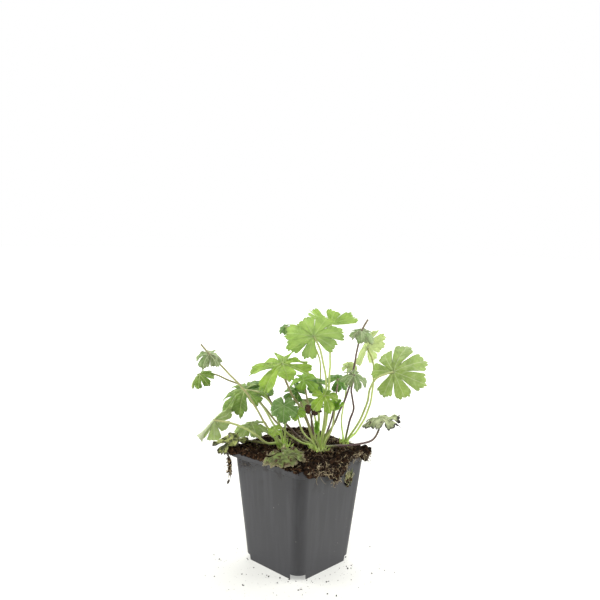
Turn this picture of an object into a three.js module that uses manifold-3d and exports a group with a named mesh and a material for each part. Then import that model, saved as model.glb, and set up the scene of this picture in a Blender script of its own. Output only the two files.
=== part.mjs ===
// A hardy geranium growing in a square nursery pot: a moulded plastic pot, its peat, three crowns and the
// leaves that rise from them. Millimetres, +Z up. The origin is the centre of the pot's foot, with the
// pot's walls along X and Y.
import * as THREE from "three";
import { mergeVertices } from "three/addons/utils/BufferGeometryUtils.js";
import Module from "manifold-3d";

const wasm = await Module();
wasm.setup();

// ---------------------------------------------------------------- driving dimensions

const CLEARANCE = 0.4; // between neighbouring pieces
const PEAT_CLEARANCE = 0.5; // between the peat and the pot
const FINE_TOLERANCE = 0.03; // joins and cuts leave no edge shorter than this
const PEAT_TOLERANCE = 0.12;
const SAME_PLACE = 1e-4; // vertices nearer than this are one vertex

// The pot. A half is half the width across the flats.
const POT_HEIGHT = 100;
const RIM_HALF = 45;
const RIM_CORNER = 6.8;
const RIM_BAND = 7;
const SHOULDER_HALF = 42.4;
const FOOT_HALF = 33.9;
const WALL_CORNER = 10;
const WALL = 1.2;
const FLOOR = 1.6;
const INNER_STEP = 3; // the inside of the rim widens over this height
const CORNER_STEPS = 4;

// Two crossed pairs of drain channels run in from notches in the foot's corners.
const CHANNEL_WIDTH = 13;
const CHANNEL_HEIGHT = 4.7;
const CHANNEL_START = 13; // from the pot's axis
const CHANNEL_END = 60;
const DRAIN_RADIUS = 3.5;
const DRAIN_AT = 27;
const DRAIN_SIDES = 12;
const POT_LOOK = { colour: "#55585b", roughness: 0.55 };

// The peat.
const SOIL_EDGE = 98.2;
const SOIL_MOUND = 3.2;
const SOIL_MOUND_REACH = 56.25;
const SOIL_BACK_RISE = 3.6; // reached from the first of these places to the second, from front to back
const SOIL_RISE_FROM = -10;
const SOIL_RISE_TO = 45;
const SOIL_WAVE_COUNT = 9;
const SOIL_WAVE_HEIGHT = 0.3;
const SOIL_WAVE_LEAST = 0.12; // radians to a millimetre
const SOIL_WAVE_SPREAD = 0.3;
const SOIL_RINGS = [1, 0.93, 0.82, 0.68, 0.54, 0.38, 0.2];
const CRUMB_HEIGHT = 1.5;
const LUMP_LEAST = 0.8; // a lump's corners lie from this share of its size
const LUMP_SPREAD = 0.4; // to this much further out
const LUMP_FLATNESS = 0.8;
const SOIL_LOOK = { colour: "#3b2a20", roughness: 1 };

// The plant's own front is turned against the pot's walls, so that it faces a corner of the pot. Places in
// the plant are stated from that front: to the right, to the back, and up.
const PLANT_TURN = THREE.MathUtils.degToRad(-46.4);

// Blades: round leaves cut into blunt lobes. The outline of a lobe is stated across it, from -1 to 1, and
// out along it.
const BLADE_THICKNESS = 0.7;
const BROAD_RADIUS = 15.5; // blades over this radius are broad ones
const BROAD_BLADE = {
  lobes: 7,
  outline: [
    [-0.95, 0.77],
    [-0.8, 0.93],
    [-0.6, 0.88],
    [-0.35, 1.0],
    [0.35, 1.0],
    [0.6, 0.88],
    [0.8, 0.93],
    [0.95, 0.77],
  ],
};
const SMALL_BLADE = {
  lobes: 5,
  outline: [
    [-0.95, 0.77],
    [-0.76, 0.93],
    [-0.3, 0.99],
    [0.3, 0.99],
    [0.76, 0.93],
    [0.95, 0.77],
  ],
};
const BASE_GAP = THREE.MathUtils.degToRad(24);
const CUT_SHARE = 0.3; // the cuts between lobes reach in to this share of the radius
const LOBE_FOLD = 0.08; // how far each lobe folds up along its middle, for each millimetre across
const MIDDLE_SHARE = 0.68;
const NOTCH_SHARE = 0.1;
const OUTER_LOBE_LOSS = 0.14;
const LOBE_LENGTH_SPREAD = 0.1;
const LOBE_LIFT_SPREAD = 0.3;

// Stalks.
const STALK_BASE = 1.1;
const STALK_TIP = 0.85;
const STALK_LEAST_SHARE = 0.72; // the stalk of the smallest blade, as a share of a broad blade's
const STALK_SHARE_GROWTH = 0.012; // for each millimetre of the blade's radius
const STALK_SIDES = 5;
const STALK_STEP = 18;
const STALK_LEAST_STEPS = 4;
const ROOT_DEPTH = 3.4;
const ROOT_LEAN = 0.75; // a root starts nearer the crown's axis than it leaves it
const ROOT_RISE = 4.5;

// Seeds of the random draws.
const WAVE_SEED = 5;
const CRUMB_SEED = 6;
const CLUMP_SEED = 7;
const FIRST_LEAF_SEED = 100;

// ---------------------------------------------------------------- helpers

// Repeatable random numbers from 0 to 1.
function seeded(seed) {
  let state = seed;
  return () => {
    state = (state + 0x6d2b79f5) | 0;
    let mixed = Math.imul(state ^ (state >>> 15), 1 | state);
    mixed = (mixed + Math.imul(mixed ^ (mixed >>> 7), 61 | mixed)) ^ mixed;
    return ((mixed ^ (mixed >>> 14)) >>> 0) / 4294967296;
  };
}

// A geometry whose vertices at one place are one vertex.
function mergeByPlace(geometry) {
  const bare = geometry.clone();
  bare.deleteAttribute("normal");
  bare.deleteAttribute("uv");
  return mergeVertices(bare, SAME_PLACE);
}

// A closed geometry as a solid for joining and cutting.
function solidOf(geometry) {
  const merged = mergeByPlace(geometry);
  return new wasm.Manifold(
    new wasm.Mesh({
      numProp: 3,
      vertProperties: merged.attributes.position.array,
      triVerts: new Uint32Array(merged.index.array),
    }),
  );
}

// The largest body of a solid, as a geometry whose short edges and slivers are merged.
function geometryOf(solid, tolerance) {
  const bodies = solid.simplify(tolerance).decompose();
  bodies.sort((one, other) => other.volume() - one.volume());
  const mesh = bodies[0].getMesh();
  const geometry = new THREE.BufferGeometry();
  geometry.setAttribute("position", new THREE.BufferAttribute(mesh.vertProperties, 3));
  geometry.setIndex(new THREE.BufferAttribute(mesh.triVerts, 1));
  return geometry;
}

// An indexed geometry from a list of points and a list of triangles.
function geometryFrom(points, faces) {
  const geometry = new THREE.BufferGeometry();
  geometry.setFromPoints(points);
  geometry.setIndex(faces.flat());
  return geometry;
}

// A square with round corners, as points that run anticlockwise.
function roundedSquare(half, corner, z) {
  const points = [];
  for (let quarter = 0; quarter < 4; quarter += 1) {
    const centre = new THREE.Vector2(half - corner, half - corner);
    centre.rotateAround(new THREE.Vector2(), (quarter * Math.PI) / 2);
    for (let step = 0; step <= CORNER_STEPS; step += 1) {
      const angle = ((quarter + step / CORNER_STEPS) * Math.PI) / 2;
      points.push(
        new THREE.Vector3(centre.x + corner * Math.cos(angle), centre.y + corner * Math.sin(angle), z),
      );
    }
  }
  return points;
}

// Rings of equal length joined into one closed body, from the bottom ring to the top one.
function loft(rings) {
  const count = rings[0].length;
  const points = rings.flat();
  const faces = [];
  for (let ring = 0; ring + 1 < rings.length; ring += 1) {
    for (let i = 0; i < count; i += 1) {
      const next = (i + 1) % count;
      const low = ring * count;
      const high = low + count;
      faces.push([low + i, low + next, high + next], [low + i, high + next, high + i]);
    }
  }
  const middle = (ring) => {
    const sum = new THREE.Vector3();
    for (const point of ring) sum.add(point);
    return sum.divideScalar(count);
  };
  const bottom = points.push(middle(rings[0])) - 1;
  const top = points.push(middle(rings.at(-1))) - 1;
  const last = (rings.length - 1) * count;
  for (let i = 0; i < count; i += 1) {
    const next = (i + 1) % count;
    faces.push([bottom, next, i], [top, last + i, last + next]);
  }
  return geometryFrom(points, faces);
}

// A place stated from the plant's own front, as a point in the part's frame.
function fromFront([right, back, up]) {
  return new THREE.Vector3(right, back, up).applyAxisAngle(new THREE.Vector3(0, 0, 1), PLANT_TURN);
}

// ---------------------------------------------------------------- pot

// The width of the tapering wall at a height.
function wallHalf(z) {
  const share = z / (POT_HEIGHT - RIM_BAND);
  return THREE.MathUtils.lerp(FOOT_HALF, SHOULDER_HALF, share);
}

// The pot's outer form, grown by a gap.
function potOutside(gap) {
  const underRim = POT_HEIGHT - RIM_BAND;
  const wall = loft([
    roundedSquare(FOOT_HALF + gap, WALL_CORNER, 0),
    roundedSquare(SHOULDER_HALF + gap, WALL_CORNER, underRim),
    roundedSquare(SHOULDER_HALF + gap, WALL_CORNER, underRim + WALL),
  ]);
  const rim = loft([
    roundedSquare(RIM_HALF - WALL / 2 + gap, RIM_CORNER, underRim - gap),
    roundedSquare(RIM_HALF + gap, RIM_CORNER, underRim + WALL / 2 - gap),
    roundedSquare(RIM_HALF + gap, RIM_CORNER, POT_HEIGHT + gap),
  ]);
  return solidOf(wall).add(solidOf(rim));
}

// The pot's inner room, shrunk by a gap and carried up past the rim.
function potInside(gap, top) {
  const stepTop = POT_HEIGHT - RIM_BAND + WALL + INNER_STEP;
  const stepFoot = stepTop - INNER_STEP;
  const inner = RIM_HALF - WALL - gap;
  return solidOf(
    loft([
      roundedSquare(wallHalf(FLOOR + gap) - WALL - gap, WALL_CORNER - WALL, FLOOR + gap),
      roundedSquare(wallHalf(stepFoot) - WALL - gap, WALL_CORNER - WALL, stepFoot),
      roundedSquare(inner, RIM_CORNER - WALL, stepTop),
      roundedSquare(inner, RIM_CORNER - WALL, top),
    ]),
  );
}

// A bar along each half diagonal of the foot, from the start distance to the end distance.
function diagonalBars(width, height, bottom, start, end) {
  let bars = null;
  for (let quarter = 0; quarter < 4; quarter += 1) {
    const bar = new THREE.BoxGeometry(end - start, width, height);
    bar.translate((start + end) / 2, 0, bottom + height / 2);
    bar.rotateZ(((2 * quarter + 1) * Math.PI) / 4);
    const solid = solidOf(bar);
    bars = bars ? bars.add(solid) : solid;
  }
  return bars;
}

// The raised housings of the drain channels, grown by a gap.
function channelHousings(gap) {
  const width = CHANNEL_WIDTH + 2 * WALL + 2 * gap;
  return diagonalBars(width, CHANNEL_HEIGHT + WALL + gap, 0, CHANNEL_START - WALL - gap, CHANNEL_END);
}

function makePot() {
  const room = potInside(0, POT_HEIGHT + WALL).subtract(channelHousings(0));
  const channelTall = 2 * CHANNEL_HEIGHT;
  const channels = diagonalBars(CHANNEL_WIDTH, channelTall, -CHANNEL_HEIGHT, CHANNEL_START, CHANNEL_END);
  let pot = potOutside(0).subtract(room).subtract(channels);
  for (let quarter = 0; quarter < 4; quarter += 1) {
    const hole = new THREE.CylinderGeometry(DRAIN_RADIUS, DRAIN_RADIUS, 4 * CHANNEL_HEIGHT, DRAIN_SIDES);
    hole.rotateX(Math.PI / 2);
    hole.translate(DRAIN_AT, 0, 0);
    hole.rotateZ(((2 * quarter + 1) * Math.PI) / 4);
    pot = pot.subtract(solidOf(hole));
  }
  return pot;
}

// ---------------------------------------------------------------- crowns

// Where each crown stands, from the plant's front, with its radius.
const CROWNS = {
  left: { at: [-13, -5], radius: 8, seed: 11 },
  middle: { at: [17, -9], radius: 8.5, seed: 12 },
  right: { at: [41, 11], radius: 5, seed: 13 },
};
const CROWN_SIDES = 9;
const CROWN_CLEARANCE = 0.6;
const CROWN_BUMP = 0.08;
const CROWN_HEIGHT = 9;
const CROWN_DEPTH = 4.5; // of its foot under the peat
// The crown's side from foot to head: share of the radius, share of the height.
const CROWN_PROFILE = [
  [0, 0],
  [0.6, 0],
  [0.95, 0.3],
  [1, 0.5],
  [0.8, 0.83],
  [0.4, 1],
  [0, 1.05],
];
const CROWN_LOOK = { colour: "#86984f", roughness: 0.7 };

// A squat knuckle of old leaf bases. Gap grows it, for the hollow it stands in.
function crownSolid({ at, radius, seed }, gap) {
  const random = seeded(seed);
  const foot = soilHeight(...at) - CROWN_DEPTH - gap;
  const profile = CROWN_PROFILE.map(
    ([out, up]) => new THREE.Vector2(out * (radius + gap), foot + up * (CROWN_HEIGHT + 2 * gap)),
  );
  const knuckle = new THREE.LatheGeometry(profile, CROWN_SIDES);
  knuckle.rotateX(Math.PI / 2);
  const body = mergeByPlace(knuckle);
  const places = body.attributes.position;
  for (let i = 0; i < places.count; i += 1) {
    const swell = 1 + CROWN_BUMP * (2 * random() - 1);
    places.setXYZ(i, places.getX(i) * swell, places.getY(i) * swell, places.getZ(i));
  }
  const middle = fromFront([...at, 0]);
  body.translate(middle.x, middle.y, 0);
  return solidOf(body);
}

// ---------------------------------------------------------------- leaves

const FRESH = { colour: "#8db84e", roughness: 0.6 };
const YOUNG = { colour: "#a9cc58", roughness: 0.6 };
const DARK = { colour: "#4f7a35", roughness: 0.6 };
const WITHERED = { colour: "#6e7355", roughness: 0.85 };
const REDDISH = { colour: "#7d4f3d", roughness: 0.6 };

// Every leaf: the crown it grows from, its root's place on that crown (right, back), the points that its
// stalk passes, the blade's centre, the way its upper face looks and the way its middle lobe points. Then
// the blade's form: its radius, its droop, and whatever else differs from a plain blade's: how wide the
// lobes are, how far in the cuts reach, how unruly the lobes are, how far each lobe folds up and how far
// the two halves close.
const LEAVES = [
  {
    name: "leaf_top_front", crown: "middle", root: [1, 0],
    route: [[22, -8, 134], [21, -4, 167], [16, 0, 188]], centre: [10, 4, 200],
    face: [-0.15, 0.85, 0.48], tip: [-0.45, 0, 1], radius: 28, droop: 0.45, unruly: 1.6, fold: 0.12,
    look: YOUNG,
  },
  {
    name: "leaf_top_back", crown: "middle", root: [2, 3],
    route: [[23, -2, 129], [25, 8, 165], [26, 28, 188]], centre: [26, 34, 209],
    face: [0.15, 0.4, 0.9], tip: [0.5, 0.8, 0], radius: 26, droop: -0.35, unruly: 1.6, fold: 0.15,
    look: YOUNG,
  },
  {
    name: "leaf_left_high", crown: "middle", root: [-6, -1],
    route: [[4, -9, 131], [-8, -9, 151], [-15, -14, 168]], centre: [-16, -20, 179],
    face: [-0.1, -0.22, 0.97], tip: [-1, -0.1, 0], radius: 31, droop: 0.8, lobeWidth: 0.9, unruly: 2.2,
    fold: 0.5, look: YOUNG,
  },
  {
    name: "leaf_right_high", crown: "right", root: [3, -2],
    route: [[54, 4.5, 127], [58.3, -1, 144], [60.5, -7, 158], [66, -13, 168], [73, -15.5, 172]],
    centre: [79, -15, 173.5],
    face: [-0.4, -0.85, 0.35], tip: [0.85, 0, 0.45], radius: 31, droop: 0.95, lobeWidth: 0.93,
    cut: 0.26, unruly: 2.2, fold: 0.2, look: FRESH,
  },
  {
    name: "leaf_pale_back", crown: "right", root: [3.5, 1.5],
    route: [[50, 15, 111], [61, 25, 126], [66.5, 31, 150], [66, 37, 173]], centre: [61, 40, 185],
    face: [-0.65, 0.6, 0.3], tip: [-0.2, 0, 1], radius: 21, droop: 0.5, unruly: 1.5, fold: 0.1,
    look: YOUNG,
  },
  {
    name: "stem_right", crown: "middle", root: [4, -1],
    route: [[30, -6, 126], [42, -3, 156], [47, 0, 180], [52, 3, 206], [57, 4, 215.5]], blade: 3,
    face: [0.1, -0.35, 0.93], tip: [0.9, -0.4, 0], radius: 15.4, droop: 1.2, unruly: 2, fold: 0.2,
    look: DARK,
  },
  {
    name: "leaf_right_mid", crown: "right", root: [0, -3],
    route: [[44, 6, 124], [47, 3, 136], [44, -8, 155]], centre: [44.7, -20, 171],
    face: [0.15, -0.45, 0.88], tip: [0.9, -0.4, 0], radius: 17, droop: 1.3, lobeWidth: 0.85, unruly: 2,
    fold: 0.2, look: DARK,
  },
  {
    name: "leaf_right_low", crown: "middle", root: [7, -3],
    route: [[27, -12, 106], [39, -15, 108], [53, -18, 111], [63, -18, 115], [68, -16, 123]],
    centre: [69, -14, 133],
    face: [-0.15, 0.05, 0.98], tip: [0.9, -0.2, 0.1], radius: 19, droop: 0.6, unruly: 1.5, fold: 0.1,
    look: WITHERED,
  },
  {
    name: "leaf_left_small", crown: "middle", root: [-8, -3.6],
    route: [[0, -7, 108], [-15, 0, 117], [-34, 16, 134], [-46, 30, 144], [-64, 36, 151], [-84, 30, 159.5]],
    centre: [-93, 26, 159],
    face: [-0.4, -0.5, 0.75], tip: [-0.8, -0.3, -0.3], radius: 17, droop: 1.2, lobeWidth: 0.85,
    unruly: 2, fold: 0.3, close: -0.3, look: FRESH,
  },
  {
    name: "stem_left", crown: "left", root: [-3, -3],
    route: [[-16, -7, 104], [-35, -14, 133], [-45, -18, 151], [-77, -27, 187], [-84, -30, 196]],
    blade: 3,
    face: [0.1, -0.4, 0.9], tip: [0.6, -0.7, 0], radius: 14, droop: 1.1, unruly: 2.2, fold: 0.2,
    look: DARK,
  },
  {
    name: "leaf_left_mid", crown: "left", root: [-2, 0.5],
    route: [[-21, -2, 130], [-28, 0, 142], [-38, 2, 149]], centre: [-49.6, 4.6, 150.4],
    face: [-0.12, -0.34, 0.93], tip: [-0.8, -0.5, 0], radius: 28, droop: 1.05, lobeWidth: 0.85, unruly: 2,
    fold: 0.3, look: FRESH,
  },
  {
    name: "leaf_left_dark", crown: "middle", root: [-6.5, 2.5],
    route: [[2, 0, 108], [-12, 8, 119], [-25, 16, 134], [-32, 22, 145]], centre: [-36, 26, 152],
    face: [0.2, -0.3, 0.93], tip: [-0.3, 0.6, 0.5], radius: 18, droop: 1.2, unruly: 1.6, fold: 0.15,
    look: DARK,
  },
  {
    name: "leaf_left_droop", crown: "left", root: [-6.5, -2.5],
    route: [[-27, -11, 107], [-39, -18, 117], [-49, -20, 123.6], [-62, -22, 128]],
    centre: [-73.5, -22, 129.5],
    face: [-0.3, -0.85, 0.45], tip: [-0.6, 0, -0.8], radius: 24, droop: 0.9, lobeWidth: 0.9, unruly: 2,
    fold: 0.15, close: -0.9, look: FRESH,
  },
  {
    name: "leaf_left_low", crown: "left", root: [-4.5, 3.3],
    route: [[-28, 3, 112], [-37, 6, 118]], centre: [-43, 5, 119.5],
    face: [-0.1, -0.2, 0.97], tip: [-0.9, -0.2, 0], radius: 18, droop: 0.8, unruly: 1.6, fold: 0.15,
    look: FRESH,
  },
  {
    name: "leaf_rim_left", crown: "left", root: [-7, 0.5],
    route: [[-28, -1, 104], [-43, 4, 104]], centre: [-60, 5, 105.5],
    face: [-0.25, -0.15, 0.95], tip: [-0.9, -0.1, 0], radius: 18, droop: 0.35, unruly: 1.4, fold: 0.05,
    look: WITHERED,
  },
  {
    name: "leaf_rim_front", crown: "left", root: [0, -6],
    route: [[-14, -22, 104.5], [-14, -34, 106.5]], centre: [-13, -44, 108.5],
    face: [-0.1, -0.16, 0.98], tip: [0.4, -0.9, 0], radius: 19, droop: 0.5, unruly: 1.4, fold: 0.05,
    look: WITHERED,
  },
  {
    name: "leaf_front_hang", crown: "left", root: [1, -3],
    route: [[-13, -9, 119], [-14, -16, 138]], centre: [-14, -24, 144],
    face: [0, -0.75, 0.65], tip: [0, -0.5, -0.85], radius: 14.5, droop: 1, cut: 0.6, fold: 0.05,
    look: DARK,
  },
  {
    name: "leaf_middle_left", crown: "middle", root: [-3, 1],
    route: [[9, -2, 131]], centre: [2, 2, 161],
    face: [-0.1, -0.4, 0.9], tip: [0.7, 0.3, 0.5], radius: 15.4, droop: 0.9, lobeWidth: 0.9, unruly: 2,
    fold: 0.4, look: YOUNG,
  },
  {
    name: "leaf_middle_back", crown: "middle", root: [-4, 4],
    route: [[6, 2, 126]], centre: [-4, 14, 148],
    face: [0, -0.6, 0.8], tip: [-0.6, 0.2, 0.4], radius: 13, droop: 0.6, lobeWidth: 0.85, unruly: 2,
    fold: 0.2, look: DARK,
  },
  {
    name: "leaf_middle", crown: "middle", root: [-1, 3],
    route: [[16, 2, 130]], centre: [15, 12, 157],
    face: [0, -0.45, 0.9], tip: [-0.7, 0.3, 0.2], radius: 12.5, droop: 1.1, unruly: 1.6, fold: 0.15,
    look: DARK,
  },
  {
    name: "leaf_middle_right", crown: "middle", root: [5, 3],
    route: [[29, 6, 130]], centre: [33.5, 24, 158],
    face: [0.1, -0.6, 0.8], tip: [0.6, 0.5, 0.2], radius: 13.5, droop: 1.1, cut: 0.55, unruly: 1.4,
    fold: 0.15, look: DARK,
  },
  {
    name: "leaf_bright", crown: "middle", root: [3, -5],
    route: [[21, -15, 130]], centre: [20, -22, 153],
    face: [0.1, -0.65, 0.75], tip: [0.3, -0.4, -0.4], radius: 15.5, droop: 0.9, lobeWidth: 0.85,
    unruly: 2, fold: 0.35, look: YOUNG,
  },
  {
    name: "leaf_brown", crown: "middle", root: [-3, -3],
    route: [[10, -9, 126]], centre: [11, -11, 141],
    face: [0.1, -0.15, 1], tip: [-0.6, -0.6, 0], radius: 9.5, droop: 1, unruly: 2, fold: 0.05,
    look: REDDISH,
  },
  {
    name: "leaf_bud", crown: "middle", root: [0, -5],
    route: [[13, -14, 114]], centre: [14, -18, 122],
    face: [0, -0.7, 0.7], tip: [0, 0.4, 0.9], radius: 8, droop: -0.5, fold: 0.3, close: 1, look: YOUNG,
  },
  {
    name: "leaf_small_middle", crown: "middle", root: [-5, -5],
    route: [[2, -16, 120]], centre: [-3, -19, 138.6],
    face: [-0.1, -0.6, 0.8], tip: [-0.2, -0.6, -0.3], radius: 9, droop: 0.7, unruly: 1.6, fold: 0.2,
    look: YOUNG,
  },
  {
    name: "leaf_small_left", crown: "left", root: [-4, -5.5],
    route: [[-18, -14, 110]], centre: [-21, -18, 121],
    face: [-0.1, -0.6, 0.8], tip: [-0.6, -0.2, 0.2], radius: 7, droop: 0.4, unruly: 1.6, fold: 0.3,
    look: YOUNG,
  },
  {
    name: "leaf_far_left", crown: "left", root: [-1.5, 7],
    route: [[-22, 12, 115], [-36, 32, 130]], centre: [-50, 48, 138],
    face: [-0.3, 0.3, 0.9], tip: [-0.6, 0.7, 0], radius: 22, droop: 0.6, unruly: 1.6, fold: 0.15,
    look: FRESH,
  },
  {
    name: "leaf_far_middle", crown: "middle", root: [1, 7],
    route: [[16, 12, 112], [12, 34, 124]], centre: [4, 50, 132],
    face: [0, 0.35, 0.93], tip: [0, 1, 0], radius: 22, droop: 0.6, unruly: 1.6, fold: 0.15, look: FRESH,
  },
  {
    name: "leaf_top_left", crown: "middle", root: [-1.5, 6],
    route: [[17, 10, 128], [18, 28, 155], [15, 30, 180], [4, 26, 197], [-6, 23, 204]],
    centre: [-15, 20, 205.5],
    face: [-0.3, -0.5, 0.8], tip: [-0.8, -0.2, -0.2], radius: 8.5, droop: 0.8, unruly: 1.6, fold: 0.2,
    look: DARK,
  },
  {
    name: "leaf_small_right", crown: "middle", root: [6.3, -5.6],
    route: [[27, -16, 122]], centre: [30, -15, 141],
    face: [0.1, -0.5, 0.85], tip: [0.3, 0.2, 0.6], radius: 8.5, droop: -0.4, unruly: 1.6, fold: 0.3,
    close: 0.5, look: YOUNG,
  },
  {
    name: "leaf_small_back", crown: "right", root: [-3.5, 0],
    route: [[38, 20, 122], [42, 38, 146]], centre: [44, 40, 167],
    face: [-0.2, -0.6, 0.75], tip: [0.3, 0, 1], radius: 8.5, droop: 0.6, unruly: 1.6, fold: 0.2,
    look: YOUNG,
  },
];

// The blade with its centre at the origin, its upper face up and its middle lobe along X. Along each
// radius the blade curves down by droop radians from the centre to the edge. Each lobe folds up along its
// middle and lifts or dips a little, and the two halves turn up about the middle lobe by close radians.
function bladeGeometry({ radius, droop, lobes, outline, lobeWidth, cut, unruly, fold, close, seed }) {
  const random = seeded(seed);
  const halfLobe = (Math.PI - BASE_GAP / 2) / lobes;
  const middleLobe = (lobes - 1) / 2;
  const cutReach = cut * radius;
  const bend = droop / radius;
  const points = [];
  const faces = [];
  const addPoint = (aim, offset, reach, lift) => {
    const angle = aim + offset;
    const out = Math.sin(bend * reach) / bend;
    const folded = fold * Math.abs(offset) * reach * Math.min(1, reach / radius);
    const up = (Math.cos(bend * reach) - 1) / bend + lift * Math.max(0, reach - cutReach) + folded;
    const aside = out * Math.sin(angle);
    const turnedAside = aside * Math.cos(close) - Math.sign(aside) * up * Math.sin(close);
    const turnedUp = Math.abs(aside) * Math.sin(close) + up * Math.cos(close);
    return points.push(new THREE.Vector3(out * Math.cos(angle), turnedAside, turnedUp)) - 1;
  };
  const centre = addPoint(0, 0, 0, 0);
  const firstCut = addPoint(-Math.PI + BASE_GAP / 2 + halfLobe, -halfLobe, cutReach, 0);
  const rim = [firstCut];
  let lastCut = firstCut;
  for (let lobe = 0; lobe < lobes; lobe += 1) {
    const aim = -Math.PI + BASE_GAP / 2 + (2 * lobe + 1) * halfLobe;
    const sideways = Math.abs(lobe - middleLobe) / middleLobe;
    const spread = unruly * LOBE_LENGTH_SPREAD * (random() - 0.5);
    const length = radius * (1 - OUTER_LOBE_LOSS * sideways * sideways + spread);
    const lift = unruly * LOBE_LIFT_SPREAD * (random() - 0.5);
    const inner = addPoint(aim, 0, cutReach, 0);
    const middle = addPoint(aim, 0, MIDDLE_SHARE * length, lift);
    const edge = outline.map(([across, out]) =>
      addPoint(aim, across * lobeWidth * halfLobe, out * length, lift),
    );
    const nextCut = addPoint(aim, halfLobe, cutReach, 0);
    faces.push([centre, lastCut, inner], [centre, inner, nextCut]);
    faces.push([lastCut, edge[0], middle], [lastCut, middle, inner]);
    faces.push([inner, middle, edge.at(-1)], [inner, edge.at(-1), nextCut]);
    for (let i = 0; i + 1 < edge.length; i += 1) faces.push([middle, edge[i], edge[i + 1]]);
    rim.push(...edge, nextCut);
    lastCut = nextCut;
  }
  const notch = addPoint(Math.PI, 0, NOTCH_SHARE * radius, 0);
  faces.push([centre, lastCut, notch], [centre, notch, firstCut]);
  rim.push(notch);
  return thickened(points, faces, rim);
}

// A sheet given as points, faces and its rim, made into a closed blade: the lower face repeats the
// triangles of the upper one, moved along the surface's own normals.
function thickened(points, faces, rim) {
  const sheet = geometryFrom(points, faces);
  sheet.computeVertexNormals();
  const normals = sheet.attributes.normal;
  const count = points.length;
  const under = points.map((point, i) => {
    const normal = new THREE.Vector3().fromBufferAttribute(normals, i);
    return point.clone().addScaledVector(normal, -BLADE_THICKNESS);
  });
  const shell = faces.flatMap(([a, b, c]) => [
    [a, b, c],
    [a + count, c + count, b + count],
  ]);
  rim.forEach((from, i) => {
    const to = rim[(i + 1) % rim.length];
    shell.push([from, from + count, to + count], [from, to + count, to]);
  });
  return geometryFrom([...points, ...under], shell);
}

// A round stalk along a curve through the given points, tapering to its end. Gap grows it all round and
// at its root.
function stalkGeometry(path, [baseRadius, tipRadius], stepLength, gap) {
  const curve = new THREE.CatmullRomCurve3(path);
  const steps = Math.max(STALK_LEAST_STEPS, Math.round(curve.getLength() / stepLength));
  const { tangents, normals, binormals } = curve.computeFrenetFrames(steps, false);
  const rings = [];
  for (let step = 0; step <= steps; step += 1) {
    const middle = curve.getPointAt(step / steps);
    if (step === 0) middle.addScaledVector(tangents[0], -gap);
    const radius = THREE.MathUtils.lerp(baseRadius, tipRadius, step / steps) + gap;
    const ring = [];
    for (let side = 0; side < STALK_SIDES; side += 1) {
      const angle = (2 * Math.PI * side) / STALK_SIDES;
      const point = middle.clone();
      point.addScaledVector(normals[step], radius * Math.cos(angle));
      point.addScaledVector(binormals[step], radius * Math.sin(angle));
      ring.push(point);
    }
    rings.push(ring);
  }
  return loft(rings);
}

// The stalk's path: from its root in the crown, up out of it, along the route and into the blade.
function stalkPath(leaf) {
  const { at } = CROWNS[leaf.crown];
  const ground = soilHeight(...at);
  const foot = leaf.root.map((offset, i) => at[i] + ROOT_LEAN * offset);
  const neck = leaf.root.map((offset, i) => at[i] + offset);
  const path = [[...foot, ground - ROOT_DEPTH], [...neck, ground + ROOT_RISE], ...leaf.route];
  if (leaf.centre) path.push(leaf.centre);
  return path.map(fromFront);
}

// A leaf's stalk as a solid, grown by a gap.
function stalkSolid(leaf, gap) {
  const share = Math.min(1, STALK_LEAST_SHARE + leaf.radius * STALK_SHARE_GROWTH);
  const radii = [STALK_BASE * share, STALK_TIP * share];
  return solidOf(stalkGeometry(stalkPath(leaf), radii, STALK_STEP, gap));
}

// A leaf's blade where it grows on its stalk.
function bladeSolid(leaf, seed) {
  const kind = leaf.radius > BROAD_RADIUS ? BROAD_BLADE : SMALL_BLADE;
  const plain = { lobeWidth: 1, cut: CUT_SHARE, unruly: 1, fold: LOBE_FOLD, close: 0 };
  const geometry = bladeGeometry({ ...plain, ...leaf, ...kind, seed });
  const face = fromFront(leaf.face).normalize();
  const tip = fromFront(leaf.tip);
  tip.addScaledVector(face, -tip.dot(face)).normalize();
  const side = new THREE.Vector3().crossVectors(face, tip);
  const place = new THREE.Matrix4().makeBasis(tip, side, face);
  const centre = fromFront(leaf.centre ?? leaf.route[leaf.blade]);
  place.setPosition(centre.addScaledVector(face, BLADE_THICKNESS / 2));
  geometry.applyMatrix4(place);
  return solidOf(geometry);
}

// ---------------------------------------------------------------- peat

const drawWave = seeded(WAVE_SEED);
const SOIL_WAVES = Array.from({ length: SOIL_WAVE_COUNT }, () => ({
  along: SOIL_WAVE_LEAST + SOIL_WAVE_SPREAD * drawWave(),
  turn: 2 * Math.PI * drawWave(),
  phase: 2 * Math.PI * drawWave(),
}));

// The height of the peat at a place stated from the plant's front: a mound, higher at the back, with waves
// in seeded directions for its roughness.
function soilHeight(right, back) {
  const reach = Math.min(1, Math.hypot(right, back) / SOIL_MOUND_REACH);
  let height = SOIL_EDGE + SOIL_MOUND * (1 - reach * reach);
  height += SOIL_BACK_RISE * THREE.MathUtils.smoothstep(back, SOIL_RISE_FROM, SOIL_RISE_TO);
  for (const { along, turn, phase } of SOIL_WAVES) {
    const way = right * Math.cos(turn) + back * Math.sin(turn);
    height += SOIL_WAVE_HEIGHT * Math.sin(along * way + phase);
  }
  return height;
}

// The height of the peat at a point of the part's frame.
function groundAt(x, y) {
  const turned = new THREE.Vector3(x, y, 0).applyAxisAngle(new THREE.Vector3(0, 0, 1), -PLANT_TURN);
  return soilHeight(turned.x, turned.y);
}

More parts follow.
